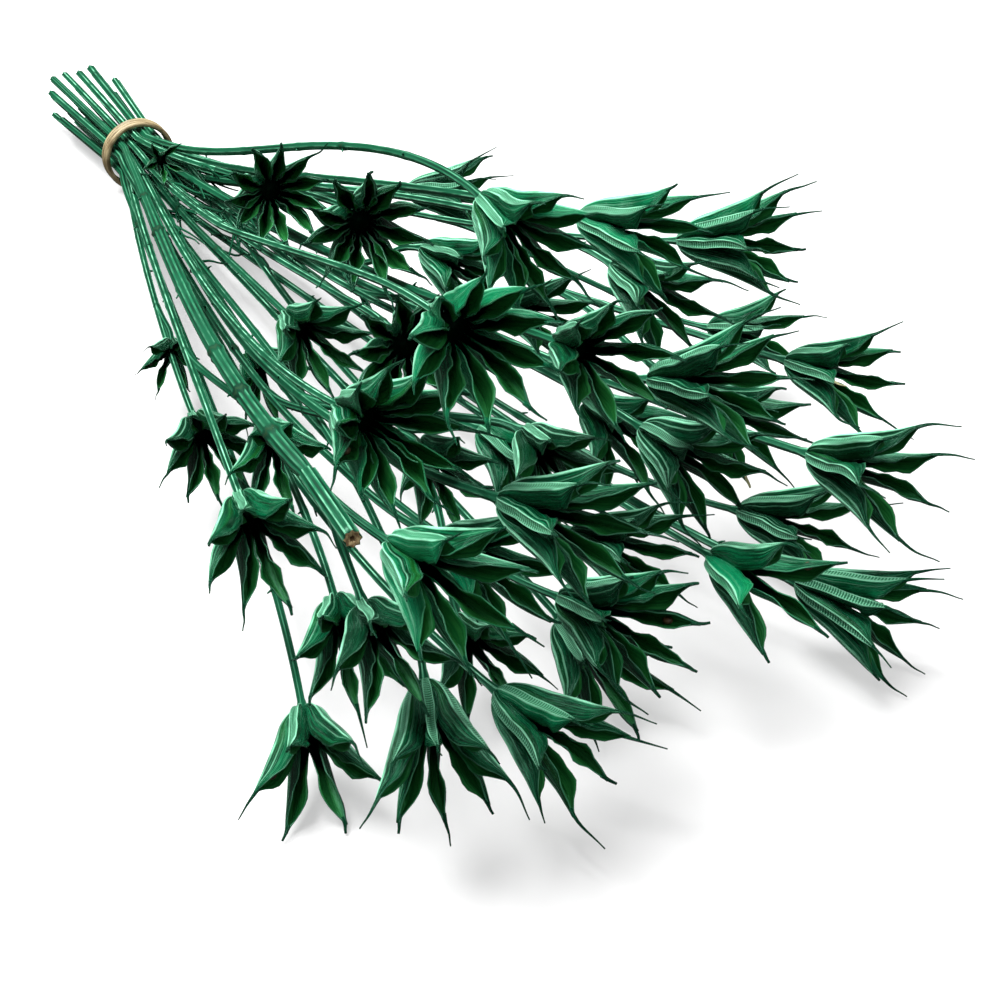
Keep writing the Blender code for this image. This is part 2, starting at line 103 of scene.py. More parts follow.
# %% Driving dimensions
STEM_RADIUS = 1.15
PEDICEL_RADIUS = 0.9
STEM_SHARES = (0.76, 1.0)
STEM_PITCH = 2.75
SLOT_REACH = 2.9 * STEM_PITCH
TAIL_LENGTHS = (38, 60)
TAIL_SPLAY = 0.62
TIE_HEIGHT = 10.3
TIE_HALF_WIDTH = 6.0
MIDDLE_HEIGHT = 38.0
SLOT_ACROSS = 26.0
SLOT_UP = 38.0
FAN = (1.15, 1.0, 0.5)
LEAVES = 0.9
ARRIVES = 0.75
BRANCH_ARRIVES = 0.6

STALK = 24
STALK_RADIUS = 1.7
STALK_SWELLS = (0.05, 0.3)
STALK_NARROWS = 0.05
STALK_FORK = 0.86
STUB = (-4, -31, 4)

CLEARANCE = 0.45
STEP = 9.0
SETTLE_ROUNDS = 520
LOOK_AGAIN = 10
WATCHED = 6.0
PUSH = 0.6
LIFT = 0.5
LONGEST_MOVE = 2.0
HEAD_GIVES = 0.35
TABLE_REACH = 0.92
HEAD_ENVELOPE = ((2.0, 2.8), (6.0, 5.8), (11.0, 8.0), (16.0, 10.3), (20.5, 12.4))

# %% [markdown]
# ## The heads, one by one
# No two heads of the bunch lie alike, so a formula can't place them. A plain table can: each row
# says where a head's foot is, which way it faces, how large it is and how many follicles it has.

# %% Heads
# Each stem's head: across, ahead of the band, up, the way it faces (degrees to +X, degrees up),
# size, and number of follicles.
STEM_HEADS = (
    (4, 160, 50, -16, 14, 1.12, 11),
    (-22, 183, 45, -1, 5, 0.90, 8),
    (39, 108, 34, 46, 6, 0.80, 8),
    (7, 219, 78, 1, -4, 1.05, 10),
    (23, 228, 75, 24, 4, 0.95, 8),
    (61, 207, 55, 31, 14, 1.00, 9),
    (43, 211, 54, 9, -4, 0.95, 8),
    (79, 228, 30, 16, 8, 0.94, 8),
    (49, 282, 41, 15, 9, 1.00, 7),
    (51, 256, 13, 24, 9, 0.95, 7),
    (21, 294, 31, 7, 6, 1.00, 5),
    (46, 288, 14, 26, -1, 0.98, 9),
    (-24, 237, 63, -18, 19, 1.00, 10),
    (-32, 288, 85, -8, 12, 1.10, 10),
    (2, 264, 71, -1, 15, 1.00, 8),
    (17, 272, 59, 22, 16, 1.00, 8),
    (24, 262, 40, 8, 0, 1.00, 8),
    (-45, 272, 64, 0, 15, 1.10, 11),
    (-40, 175, 17, -9, 6, 0.90, 9),
    (-54, 242, 36, -9, 2, 1.00, 8),
    (-55, 281, 32, -14, 2, 0.90, 7),
    (-62, 282, 15, -15, -2, 0.95, 6),
    (-51, 306, 31, -17, -16, 0.98, 8),
    (-34, 308, 24, 14, -6, 0.98, 7),
    (-51, 313, 66, 7, 6, 1.05, 7),
    (-36, 292, 47, 12, 10, 1.00, 7),
    (-36, 308, 65, 17, 9, 1.00, 8),
    (-21, 298, 35, 13, 11, 1.02, 9),
    (-4, 278, 14, 0, -1, 1.00, 7),
    (30, 226, 31, 0, 0, 0.95, 7),
    (1, 274, 32, 18, 10, 0.90, 8),
)

# Each side branch: the stem it grows on, how far along it leaves, then its head as above.
BRANCH_HEADS = (
    (0, 0.36, 0, 108, 40, -13, 16, 1.05, 11),
    (5, 0.60, 87, 178, 15, 29, 11, 0.85, 5),
    (19, 0.62, -41, 222, 36, -13, 4, 0.85, 7),
    (24, 0.86, -52, 301, 46, -8, 4, 0.90, 6),
    (28, 0.70, -22, 271, 14, -10, 4, 0.90, 7),
    (15, 0.55, 18, 208, 48, 12, 10, 0.80, 7),
    (18, 0.50, -31, 127, 14, -22, 4, 0.60, 6),
    (7, 0.60, 51, 232, 30, 15, -3, 0.95, 8),
    (26, 0.70, -7, 266, 51, -5, 0, 0.90, 7),
    (25, 0.62, -22, 248, 42, -8, 5, 0.85, 7),
    (13, 0.08, -9, 50, 29, -10, 15, 0.50, 5),
    (29, 0.48, 25, 149, 36, 14, -2, 0.90, 8),
    (30, 0.70, -5, 242, 40, 10, -4, 0.90, 7),
    (27, 0.33, -19, 140, 14, -4, 2, 0.80, 7),
)
print("heads:", len(STEM_HEADS) + len(BRANCH_HEADS))

# %% First routes


def facing(turn, tilt):
    """The unit vector that a head faces along: turned towards +X from -Y, and tilted up."""
    turn, tilt = math.radians(turn), math.radians(tilt)
    return np.array((math.sin(turn) * math.cos(tilt), -math.cos(turn) * math.cos(tilt), math.sin(tilt)))


def unit(vector):
    """The vector at length 1."""
    return vector / np.linalg.norm(vector)


def hexagon_slots():
    """The places of the stems in the band: rings of a hexagon about one stem, less its corners."""
    slots = []
    for row in range(-3, 4):
        for place in range(-3, 4):
            across = (place + 0.5 * row) * STEM_PITCH
            up = row * STEM_PITCH * math.sin(math.radians(60))
            if abs(place + row) <= 3 and math.hypot(across, up) < SLOT_REACH:
                slots.append((across, up))
    return slots


def share_slots(heads):
    """Gives each stem the free slot that lies most nearly the way its head does, outer heads first."""
    free = hexagon_slots()
    ways = []
    for across, ahead, up, *_ in heads:
        ways.append(np.array((across * SLOT_ACROSS, (up - MIDDLE_HEIGHT) * SLOT_UP)) / ahead)
    chosen = [None] * len(heads)
    for index in sorted(range(len(heads)), key=lambda i: -np.linalg.norm(ways[i])):
        best = min(free, key=lambda slot: math.dist(slot, ways[index]))
        free.remove(best)
        chosen[index] = best
    return chosen


def cubic(t, start, start_slope, end, end_slope):
    """The curve that leaves start along one slope and reaches end along the other, at t from 0 to 1."""
    return (
        (2 * t**3 - 3 * t**2 + 1) * start
        + (t**3 - 2 * t**2 + t) * start_slope
        + (-2 * t**3 + 3 * t**2) * end
        + (t**3 - t**2) * end_slope
    )


def route_points(start, leaves, end, arrives, steps):
    """A first centreline of this many steps between two places, by the ways it leaves and arrives."""
    span = np.linalg.norm(end - start)
    t = np.linspace(0.0, 1.0, steps + 1)[:, None]
    return cubic(t, start, leaves * LEAVES * span, end, arrives * span)


def first_routes():
    """Every stem's and branch's centreline before settling, from its root to its head's foot."""
    routes = []
    for slot, head in zip(share_slots(STEM_HEADS), STEM_HEADS):
        across, ahead, up, turn, tilt, size, count = head
        start = np.array((slot[0], -TIE_HALF_WIDTH, TIE_HEIGHT + slot[1]))
        end = np.array((across, -ahead, up), float)
        span = np.linalg.norm(end - start)
        leaves = unit((end - start) * FAN)
        points = route_points(start, leaves, end, facing(turn, tilt) * ARRIVES, round(span / STEP))
        routes.append({"points": points, "head": (turn, tilt, size, count), "on": None})
    for on, share, across, ahead, up, turn, tilt, size, count in BRANCH_HEADS:
        trunk = routes[on]["points"]
        fork = round(share * (len(trunk) - 1))
        start = trunk[fork]
        end = np.array((across, -ahead, up), float)
        span = np.linalg.norm(end - start)
        leaves = unit(trunk[fork + 1] - trunk[fork])
        arrives = facing(turn, tilt) * BRANCH_ARRIVES
        points = route_points(start, leaves, end, arrives, max(3, round(span / STEP)))
        routes.append({"points": points, "head": (turn, tilt, size, count), "on": (on, fork)})
    return routes


# %% [markdown]
# ## Bending the stems apart
# The first curves cross each other, which real stems can't. Every stem and head is stood for by a
# row of balls. Wherever two balls overlap, both stems give way a little, the move is smoothed along
# each stem, and this is repeated for a set number of rounds. A simulation of bending rods would do
# the same, but this is short and gives the same answer every time.

# %% Settle the routes


def stem_radius(index):
    """The greatest radius of a stem."""
    return STALK_RADIUS if index == STALK else STEM_RADIUS


def balls_of(routes):
    """The balls that stand for stems and heads: weights on the points, offsets, radii and owners."""
    starts = np.cumsum([0] + [len(route["points"]) for route in routes])
    weights, offsets, radii, chains, heads = [], [], [], [], []
    for index, route in enumerate(routes):
        for step in range(len(route["points"]) - 1):
            for share in (0.0, 0.5):
                row = np.zeros(starts[-1])
                row[starts[index] + step] = 1 - share
                row[starts[index] + step + 1] = share
                weights.append(row)
                offsets.append(np.zeros(3))
                radii.append(stem_radius(index))
                chains.append(index)
                heads.append(False)
        turn, tilt, size, _ = route["head"]
        for along, radius in HEAD_ENVELOPE:
            row = np.zeros(starts[-1])
            row[starts[index + 1] - 1] = 1
            weights.append(row)
            offsets.append(facing(turn, tilt) * along * size)
            radii.append(radius * size)
            chains.append(index)
            heads.append(True)
    chains = np.array(chains)
    family = np.array([r["on"][0] if r["on"] else i for i, r in enumerate(routes)])[chains]
    return (
        np.array(weights), np.array(offsets), np.array(radii) + CLEARANCE, chains, family,
        np.array(heads), starts,
    )


def near_pairs(place, reach, chains, family, heads):
    """The pairs of balls that could come to touch: of two stems, or two heads of one stem."""
    square = (place**2).sum(1)
    apart = np.sqrt(np.clip(square[:, None] + square[None] - 2 * place @ place.T, 0, None))
    near = apart < reach[:, None] + reach[None] + WATCHED
    strangers = family[:, None] != family[None]
    strangers |= heads[:, None] & heads[None] & (chains[:, None] != chains[None])
    return np.nonzero(np.triu(near & strangers))


def settle(routes):
    """Bends the stems apart, smoothly, for a set number of rounds, away from each other and the table.
    """
    weights, offsets, reach, chains, family, heads, starts = balls_of(routes)
    points = np.concatenate([route["points"] for route in routes])
    shift = np.zeros_like(points)
    gives = np.where(heads, HEAD_GIVES, 1.0)
    for turn_number in range(SETTLE_ROUNDS):
        place = weights @ (points + shift) + offsets
        if turn_number % LOOK_AGAIN == 0:
            first, second = near_pairs(place, reach, chains, family, heads)
        line = place[first] - place[second]
        gap = np.linalg.norm(line, axis=1) + 1e-9
        depth = np.clip(reach[first] + reach[second] - gap, 0.0, None)
        push = line / gap[:, None] * (PUSH * depth / (gives[first] + gives[second]))[:, None]
        moved = np.zeros_like(place)
        np.add.at(moved, first, push * gives[first, None])
        np.add.at(moved, second, -push * gives[second, None])
        moved[:, 2] += LIFT * np.clip(TABLE_REACH * reach - place[:, 2], 0.0, None)
        shift += np.clip(weights.T @ moved, -LONGEST_MOVE, LONGEST_MOVE)
        for index, route in enumerate(routes):
            part = shift[starts[index] : starts[index + 1]]
            part[0] = 0.0 if route["on"] is None else shift[starts[route["on"][0]] + route["on"][1]]
            padded = np.concatenate((part, part[-1:]))
            part[1:] = 0.5 * part[1:] + 0.25 * (padded[:-2] + padded[2:])
    settled = points + shift
    return [
        {**route, "points": settled[starts[i] : starts[i + 1]]} for i, route in enumerate(routes)
    ]


SLOTS = share_slots(STEM_HEADS)
ROUTES = settle(first_routes())
weights, offsets, BALL_REACH, _, BALL_FAMILY, _, _ = balls_of(ROUTES)
BALL_PLACES = weights @ np.concatenate([route["points"] for route in ROUTES]) + offsets
print("settled", len(ROUTES), "centrelines")

# %% [markdown]
# ## How each head grew
# The follicles of a head differ a little: how far each spreads, how tall it is, and how long its
# beak grew or whether it broke. These draws are made in the same order as for the solids, so every
# follicle and beak lies where its solid does.

# %% Draw the heads
KEEL_TIP = (12.1, 24.8)
BEAK_LENGTHS = (4.0, 10.5)
BEAK_LEANS = (0.1, 0.5)
BEAK_ASIDE = 0.06
BEAK_SHORTER = 0.6
BEAK_BROKEN = 1.8
BROKEN_SHARE = 0.4
SPREADS = (0.94, 1.06)
TALLS = (0.96, 1.04)


def head_frame(foot, turn, tilt, size, roll):
    """The matrix from a head's own frame, foot at zero and facing +Z, to the bunch."""
    up = Vector(facing(turn, tilt))
    side = up.cross(Vector((0, 0, 1))).normalized()
    turned = Matrix((side, up.cross(side), up)).transposed().to_4x4()
    return (
        Matrix.Translation(Vector(foot)) @ turned @ Matrix.Rotation(roll, 4, "Z")
        @ Matrix.Scale(size, 4)
    )


def beak_end(place, angle, spread, tall, others, draw):
    """The far end of a beak: as long as it grew, or broken short where it would reach a neighbour."""
    balls, reach = others
    lean = draw.uniform(*BEAK_LEANS)
    aside = angle + draw.uniform(-BEAK_ASIDE, BEAK_ASIDE)
    broken = draw.random() < BROKEN_SHARE
    grown = draw.uniform(*BEAK_LENGTHS)
    way = np.array((lean, math.sqrt(1 - lean**2)))
    root = np.array((KEEL_TIP[0] * spread, KEEL_TIP[1] * tall))
    for length in (BEAK_BROKEN,) if broken else (grown, BEAK_SHORTER * grown, BEAK_BROKEN):
        clear = True
        for share in (0.25, 0.5, 0.75, 1.0):
            radius, height = root + share * length * way
            spot = place @ Vector((radius * math.cos(aside), radius * math.sin(aside), height))
            apart = np.linalg.norm(balls - np.array(spot), axis=1)
            clear = clear and bool((apart > reach).all()) and spot.z > 0
        if clear:
            break
    return {"radius": radius, "height": height, "angle": aside, "length": length}


def draw_head(foot, head, others, draw):
    """One head: its frame, and for each follicle its angle, spread, height and beak."""
    turn, tilt, size, count = head
    place = head_frame(foot, turn, tilt, size, draw.uniform(0, 2 * math.pi))
    follicles = []
    for i in range(count):
        angle = 2 * math.pi * i / count
        spread = draw.uniform(*SPREADS)
        tall = draw.uniform(*TALLS)
        beak = beak_end(place, angle, spread, tall, others, draw)
        follicles.append({"angle": angle, "spread": spread, "tall": tall, "beak": beak})
    return {"place": place, "count": count, "size": size, "follicles": follicles}


def draw_bunch():
    """For each stem, its tail's length, how stout it is, and all the heads that grow on it."""
    draw = random.Random(11)
    stems = []
    for index in range(len(STEM_HEADS)):
        others = (BALL_PLACES[BALL_FAMILY != index], BALL_REACH[BALL_FAMILY != index])
        tail = draw.uniform(*TAIL_LENGTHS)
        stout = draw.uniform(*STEM_SHARES)
        heads = [draw_head(ROUTES[index]["points"][-1], ROUTES[index]["head"], others, draw)]
        for branch in ROUTES:
            if branch["on"] and branch["on"][0] == index:
                heads.append(draw_head(branch["points"][-1], branch["head"], others, draw))
        stems.append({"tail": tail, "stout": stout, "heads": heads})
    return stems


BUNCH = draw_bunch()
print("follicles:", sum(head["count"] for stem in BUNCH for head in stem["heads"]))

# %% [markdown]
# ## The wall of a follicle
# A follicle is a boat of thin, tough skin. Its back is a flat keel between two raised ribs, its two
# sides run in to the seam, and above the joined part the seam has burst open into two curled lips.
# It could be cut out of a block, but the real thing is a sheet, so it starts as a flat grid. One
# way across the grid runs from lip to lip round the keel, the other from the foot to the tip, and a
# formula bends it. The sheet then gets its thickness from the solidify operator.

# %% Shape of a follicle
# Stations along a follicle, from 0 at the foot to 1 at the tip. The keel has a radius, a height and
# half its width there; the seam has a radius, a height and half the gap between the lips.
KEEL_AT = (0.0, 0.10, 0.20, 0.48, 0.70, 0.84, 0.93, 1.0)
KEEL_LINE = (
    (1.4, 0.0, 0.42), (2.9, 1.6, 0.62), (4.4, 4.2, 0.76), (6.9, 11.5, 0.84),
    (8.9, 17.2, 0.82), (10.2, 20.7, 0.70), (11.3, 23.1, 0.46), (12.1, 24.8, 0.32),
)
SEAM_AT = (0.0, 0.20, 0.45, 0.58, 0.72, 0.82, 0.91, 1.0)
SEAM_LINE = (
    (0.4, 0.6), (2.5, 4.2), (2.3, 11.0), (3.4, 14.8),
    (5.1, 18.5), (6.9, 21.0), (9.7, 22.9), (11.7, 24.7),
)
LIP_GAPS = (None, None, None, 0.55, 1.00, 1.30, 0.62, 0.26)
JOINED_BELOW = 0.45
VALLEY_SHARE = 1.02
KEEL_SHARE = 0.36
LIP_SHARE = 0.44
LIP_RADIUS = 6.9
LIP_HALF_GAP = 1.3
KEEL_HALF_WIDTH = 0.8
KEEL_LOW_RADIUS = 4.4
KEEL_EDGE = 0.24
RIB_HEIGHT = 0.24
LADDER_DEPTH = 0.14
BULGE = 0.40
CURL = 0.45
SWAY = 1.0
WAVE = 0.45
WALL = 0.22
RIB_WIDTH = 0.045
LADDER_WIDTH = 0.14
RIPPLE_WAVES = 21
FRILL_WAVES = 34

# How far along a follicle its slit opens and closes, its relief fades in and out, and it comes free.
SLIT_OPENS = (JOINED_BELOW, 0.62)
SLIT_CLOSES = (0.86, 0.98)
RELIEF_STARTS = (0.02, 0.14)
RELIEF_ENDS = (0.86, 1.0)
COMES_FREE = (JOINED_BELOW, 0.84)

# Where the columns of the grid lie, from the middle of the keel to a lip, and how many rows it has.
COLUMNS = (0.0, 0.07, 0.14, 0.20, 0.24, 0.30, 0.44, 0.60, 0.76, 0.89, 1.0)
ROWS = 22


def smooth_through(stations, values, at):
    """Values at places along a smooth curve that passes through the given stations."""
    stations = np.array(stations, float)
    values = np.array(values, float)
    slopes = np.gradient(values, stations, axis=0)
    low = np.clip(np.searchsorted(stations, at, side="right") - 1, 0, len(stations) - 2)
    width = (stations[low + 1] - stations[low])[:, None]
    t = ((at - stations[low]) / width[:, 0])[:, None]
    return cubic(t, values[low], slopes[low] * width, values[low + 1], slopes[low + 1] * width)


def eased(low, high, at):
    """0 below low, 1 above high, and smooth between."""
    t = np.clip((at - low) / (high - low), 0, 1)
    return t * t * (3 - 2 * t)


def seam_line(count):
    """The seam's stations for a head of this many follicles, closed on its neighbours lower down."""
    half_pitch = math.pi / count
    widest = min(LIP_HALF_GAP, LIP_SHARE * LIP_RADIUS * 2 * half_pitch) / LIP_HALF_GAP
    stations = []
    for (radius, height), gap in zip(SEAM_LINE, LIP_GAPS):
        if gap is None:
            gap = radius * math.sin(half_pitch) * VALLEY_SHARE
            radius = radius * math.cos(half_pitch)
        else:
            gap = gap * widest
        stations.append((radius, height, gap))
    return stations


def follicle_points(along, across, count, follicle):
    """Points of one follicle's wall in its head's frame, from their places on the grid."""
    keel_width = min(1.0, KEEL_SHARE * KEEL_LOW_RADIUS * 2 * math.pi / count / KEEL_HALF_WIDTH)
    keel = smooth_through(KEEL_AT, KEEL_LINE, along)
    seam = smooth_through(SEAM_AT, seam_line(count), along)
    side = np.abs(across)
    on_keel = np.clip(side / KEEL_EDGE, 0, 1)
    on_wall = np.clip((side - KEEL_EDGE) / (1 - KEEL_EDGE), 0, 1)
    open_here = eased(*SLIT_OPENS, along) * (1 - eased(*SLIT_CLOSES, along))
    relief = eased(*RELIEF_STARTS, along) * (1 - eased(*RELIEF_ENDS, along))
    radius = keel[:, 0] + (seam[:, 0] - keel[:, 0]) * on_wall
    height = keel[:, 1] + (seam[:, 1] - keel[:, 1]) * on_wall
    aside = keel[:, 2] * keel_width * on_keel
    aside += (seam[:, 2] - keel[:, 2] * keel_width) * on_wall
    aside += BULGE * follicle["plump"] * np.sin(math.pi * on_wall) ** 1.3 * relief
    aside += CURL * follicle["curl"] * on_wall**5 * open_here
    rib = np.exp(-(((side - KEEL_EDGE) / RIB_WIDTH) ** 2)) * RIB_HEIGHT
    dip = np.exp(-((side / LADDER_WIDTH) ** 2)) * LADDER_DEPTH
    radius += (rib - dip) * relief
    ripple = np.sin(along * RIPPLE_WAVES + follicle["phase"]) * on_wall * (1 - on_wall)
    frill = np.sin(along * FRILL_WAVES + 2 * follicle["phase"]) * on_wall**3
    aside += follicle["ripple"] * ripple * relief + follicle["frill"] * frill * open_here
    free = eased(*COMES_FREE, along)
    radius *= 1 + (follicle["spread"] - 1) * free
    height *= 1 + (follicle["tall"] - 1) * free
    bend = np.sin(math.pi * np.clip((along - JOINED_BELOW) / (1 - JOINED_BELOW), 0, 1))
    radius += WAVE * follicle["wave"] * bend * (0.4 + 0.6 * on_wall)
    aside = aside * np.sign(across) + SWAY * follicle["sway"] * bend
    cosine, sine = math.cos(follicle["angle"]), math.sin(follicle["angle"])
    return np.stack((radius * cosine - aside * sine, radius * sine + aside * cosine, height), 1)


HALF_COLUMNS = len(COLUMNS) - 1
WALL_COLUMNS = np.array([-c for c in reversed(COLUMNS[1:])] + list(COLUMNS))
print("grid of a follicle:", 2 * HALF_COLUMNS, "by", ROWS)

# %% [markdown]
# ## Marks that follow the surface
# The colours need to know where on a follicle or a stem a point lies, so each mesh carries a few
# numbers on its points: how far along, how far across, and a tone that differs from head to head.
# A helper makes those layers, moves a grid's points and writes the numbers in one pass.

# %% Grids that carry marks
MARKS = ("along", "across", "tone")


def new_shape():
    """An empty bmesh with one layer for each mark."""
    shape = bmesh.new()
    for mark in MARKS:
        shape.verts.layers.float.new(mark)
    return shape


def lay_grid(shape, columns, rows, bend, material):
    """Adds a grid, and has the bend rule place its points and give their marks."""
    grid = bmesh.ops.create_grid(shape, x_segments=columns, y_segments=rows, size=1.0)["verts"]
    flat = np.array([v.co[:2] for v in grid])
    places, marks = bend(flat[:, 0], (flat[:, 1] + 1) / 2)
    layers = [shape.verts.layers.float[mark] for mark in MARKS]
    for vert, place, numbers in zip(grid, places, marks):
        vert.co = place
        for layer, number in zip(layers, numbers):
            vert[layer] = number
    faces = list({face for vert in grid for face in vert.link_faces})
    for face in faces:
        face.material_index = material
        face.smooth = True
    return grid, faces


def give_marks(shape, verts, numbers, material, smooth=True):
    """Gives all these points the same marks, and their faces one finish."""
    for name, number in zip(MARKS, numbers):
        layer = shape.verts.layers.float[name]
        for vert in verts:
            vert[layer] = number
    for face in {face for vert in verts for face in vert.link_faces}:
        face.material_index = material
        face.smooth = smooth


def finish_piece(shape, name, node, finishes):
    """Turns a bmesh in millimetres into a piece that rides on the bunch and replaces a solid."""
    place = Matrix.Translation((TIE[0], TIE[1], 0)) @ Matrix.Scale(MM, 4)
    shape.transform(place)
    mesh = bpy.data.meshes.new(name)
    shape.to_mesh(mesh)
    shape.free()
    points = np.empty(3 * len(mesh.vertices))
    mesh.vertices.foreach_get("co", points)
    points = np.clip(points.reshape(-1, 3), *CAD_BOX)
    mesh.vertices.foreach_set("co", points.ravel())
    piece = bpy.data.objects.new(name, mesh)
    bpy.context.scene.collection.objects.link(piece)
    for finish in finishes:
        mesh.materials.append(finish)
    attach(piece, "root")
    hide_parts(node)
    return piece


print("marks:", ", ".join(MARKS))

# %% [markdown]
# ## Tubes
# Stems, beaks and stubs are all tubes along a line. A grid is rolled up round the line, its seam is
# merged, and its ends are closed. A frame that turns as little as it can is carried along the line,
# so that the tube doesn't twist where the line bends.

# %% Tubes along a line
SEAM_MERGE = 0.001


def frame_along(points):
    """For each point of a line, two unit vectors across it that turn as little as they can."""
    steps = np.diff(points, axis=0)
    steps /= np.linalg.norm(steps, axis=1)[:, None]
    ahead = np.concatenate((steps[:1], steps[:-1] + steps[1:], steps[-1:]))
    ahead /= np.linalg.norm(ahead, axis=1)[:, None]
    side = np.cross(ahead[0], (0.0, 0.0, 1.0))
    sides = []
    for way in ahead:
        side = unit(side - way * (side @ way))
        sides.append(side)
    return np.array(sides), np.cross(ahead, np.array(sides))


def lay_tube(shape, line, radius_at, sides, marks_at, material):
    """Adds a closed tube round a line: radius_at and marks_at take the ring and the turn."""
    across, over = frame_along(line)
    rings = len(line) - 1

    def bend(x, y):
        ring = np.rint(y * rings).astype(int)
        turn = (x + 1) * math.pi
        radius = radius_at(ring, turn)[:, None]
        ways = np.cos(turn)[:, None] * across[ring] + np.sin(turn)[:, None] * over[ring]
        return line[ring] + radius * ways, marks_at(ring, turn)

    verts, faces = lay_grid(shape, sides, rings, bend, material)
    bmesh.ops.remove_doubles(shape, verts=verts, dist=SEAM_MERGE)
    verts = [v for v in verts if v.is_valid]
    ends = [e for e in {e for v in verts for e in v.link_edges} if e.is_boundary]
    caps = bmesh.ops.holes_fill(shape, edges=ends, sides=0)["faces"]
    for cap in caps:
        cap.material_index = material
    bmesh.ops.recalc_face_normals(shape, faces=[f for f in faces if f.is_valid] + caps)
    return caps


print("tubes are rolled from grids")

# %% [markdown]
# ## A whole head
# The follicles stand round the axis with their seams against each other. A beak grows out of each
# tip, thin as a bristle, and a shallow floor closes the throat where the seams meet. Here and there
# a round brown seed is still held in an open slit.

# %% Beaks, throats and seeds
BEAK_ROOT = 0.46
BEAK_POINT = 0.14
BEAK_SIDES = 6
BEAK_RINGS = 9
BEAK_BEND = 0.55
BEAK_BEND_FOR = 9.0
BEAK_SET_BACK = 0.35
BEAK_SUNK = (-0.75, -1.3)
BEAK_TAPER = 1.6
BLUNT = 0.6
FLOOR_RADIUS = 2.45
FLOOR_HEIGHT = (6.4, 7.0)
FLOOR_TIP = 0.3
SEED_RADIUS = 1.0
SEED_SPOT = (8.3, 20.0)
SEED_SQUASH = 0.72
SEED_SHARE = 0.025
BARE_BEAK_SHARE = 0.006
BARE_TONE = 2.5


def beak_line(follicle):
    """A beak's centreline: out of the tip, then with a slight bend to where it ends."""
    beak = follicle["beak"]
    root = np.array((KEEL_TIP[0] * follicle["spread"] - BEAK_SET_BACK, KEEL_TIP[1] * follicle["tall"]))
    inner = root + np.array(BEAK_SUNK)
    end = np.array((beak["radius"], beak["height"]))
    t = np.linspace(0, 1, BEAK_RINGS)
    sunk = -BEAK_SUNK[1]
    inside = min(0.3, sunk / (sunk + beak["length"]))
    flat = smooth_through((0, inside, 1), (inner, root, end), t)
    angle = follicle["angle"] + (beak["angle"] - follicle["angle"]) * t
    most = BEAK_BEND * follicle["bend"] * beak["length"] / BEAK_BEND_FOR
    sag = np.sin(math.pi * eased(inside, 1.0, t)) * most
    return np.stack(
        (
            flat[:, 0] * np.cos(angle) - sag * np.sin(angle),
            flat[:, 0] * np.sin(angle) + sag * np.cos(angle),
            flat[:, 1],
        ),
        1,
    )


def lay_beak(shape, follicle, tone):
    """Adds a beak: a bristle that tapers from the tip."""
    line = beak_line(follicle)
    share = np.linspace(0, 1, BEAK_RINGS)
    point = BEAK_POINT if follicle["beak"]["length"] > BEAK_BROKEN else BLUNT * BEAK_ROOT
    radii = point + (BEAK_ROOT - point) * (1 - share) ** BEAK_TAPER

    def marks(ring, turn):
        return np.stack((1 + share[ring], np.cos(turn), np.full(len(ring), tone)), 1)

    lay_tube(shape, line, lambda ring, turn: radii[ring], BEAK_SIDES, marks, 0)


def lay_floor(shape, count, tone):
    """Adds the throat's floor: a shallow cone where the seams meet."""
    low, high = FLOOR_HEIGHT
    cone = bmesh.ops.create_cone(
        shape, cap_ends=True, cap_tris=False, segments=2 * count, radius1=FLOOR_RADIUS,
        radius2=FLOOR_TIP, depth=high - low, matrix=Matrix.Translation((0, 0, (low + high) / 2)),
    )["verts"]
    # With an along mark of 0.2 the floor takes the lining's painted throat shade, almost black.
    give_marks(shape, cone, (0.2, 0.5, tone), 1, smooth=False)


def lay_seed(shape, follicle, tone):
    """Adds one round seed, slightly flattened, in the open slit of a follicle."""
    spot = Vector((SEED_SPOT[0] * follicle["spread"], 0, SEED_SPOT[1] * follicle["tall"]))
    place = Matrix.Rotation(follicle["angle"], 4, "Z") @ Matrix.Translation(spot)
    seed = bmesh.ops.create_icosphere(
        shape, subdivisions=3, radius=SEED_RADIUS,
        matrix=place @ Matrix.Diagonal((1, SEED_SQUASH, 1, 1)),
    )["verts"]
    give_marks(shape, seed, (0.5, 0.0, tone), 2)


print("a beak has", BEAK_SIDES, "sides and", BEAK_RINGS, "rings")

# %% [markdown]
# ## Putting a head together
# The walls of all the follicles are laid out first, as sheets with no thickness, because solidify
# then makes the lining of every one in a single step. Beaks, seeds and the floor are added after it,
# since they are solid already.

# %% Lay out a head
# How light some heads are coloured, from 0, almost black, to 1, bright green. The others differ at
# random.
HEAD_TONES = {
    0: 0.12, 3: 0.70, 4: 0.80, 5: 0.65, 6: 0.30, 7: 0.60, 8: 0.40, 9: 0.25, 10: 0.80, 11: 0.70,
    12: 0.08, 13: 0.95, 14: 0.45, 16: 0.30, 17: 0.78, 19: 0.60, 21: 0.66, 22: 0.55, 23: 0.75,
    24: 0.82, 25: 0.62, 26: 0.50, 27: 0.55, 28: 0.15, 30: 0.35,
}

# What differs from follicle to follicle, in the order it is drawn, with its least and its most.
FOLLICLE_DRAWS = {
    "plump": (0.6, 1.3), "curl": (0.5, 1.25), "ripple": (0.25, 0.75), "frill": (0.1, 0.45),
    "phase": (0, 6.28), "bend": (-1, 1), "sway": (-1, 1), "wave": (-1, 1),
}
TONE_SPREAD = 0.22
TONE_TOP = 1.1


def lay_wall(part, head, follicle, tone):
    """Adds one follicle's wall to a head, as a sheet with no thickness."""

    def bend(x, y):
        across = np.interp(x, np.linspace(-1, 1, len(WALL_COLUMNS)), WALL_COLUMNS)
        places = follicle_points(y, across, head["count"], follicle)
        return places, np.stack((y, across, np.full(len(y), tone)), 1)

    lay_grid(part, 2 * HALF_COLUMNS, ROWS, bend, 0)


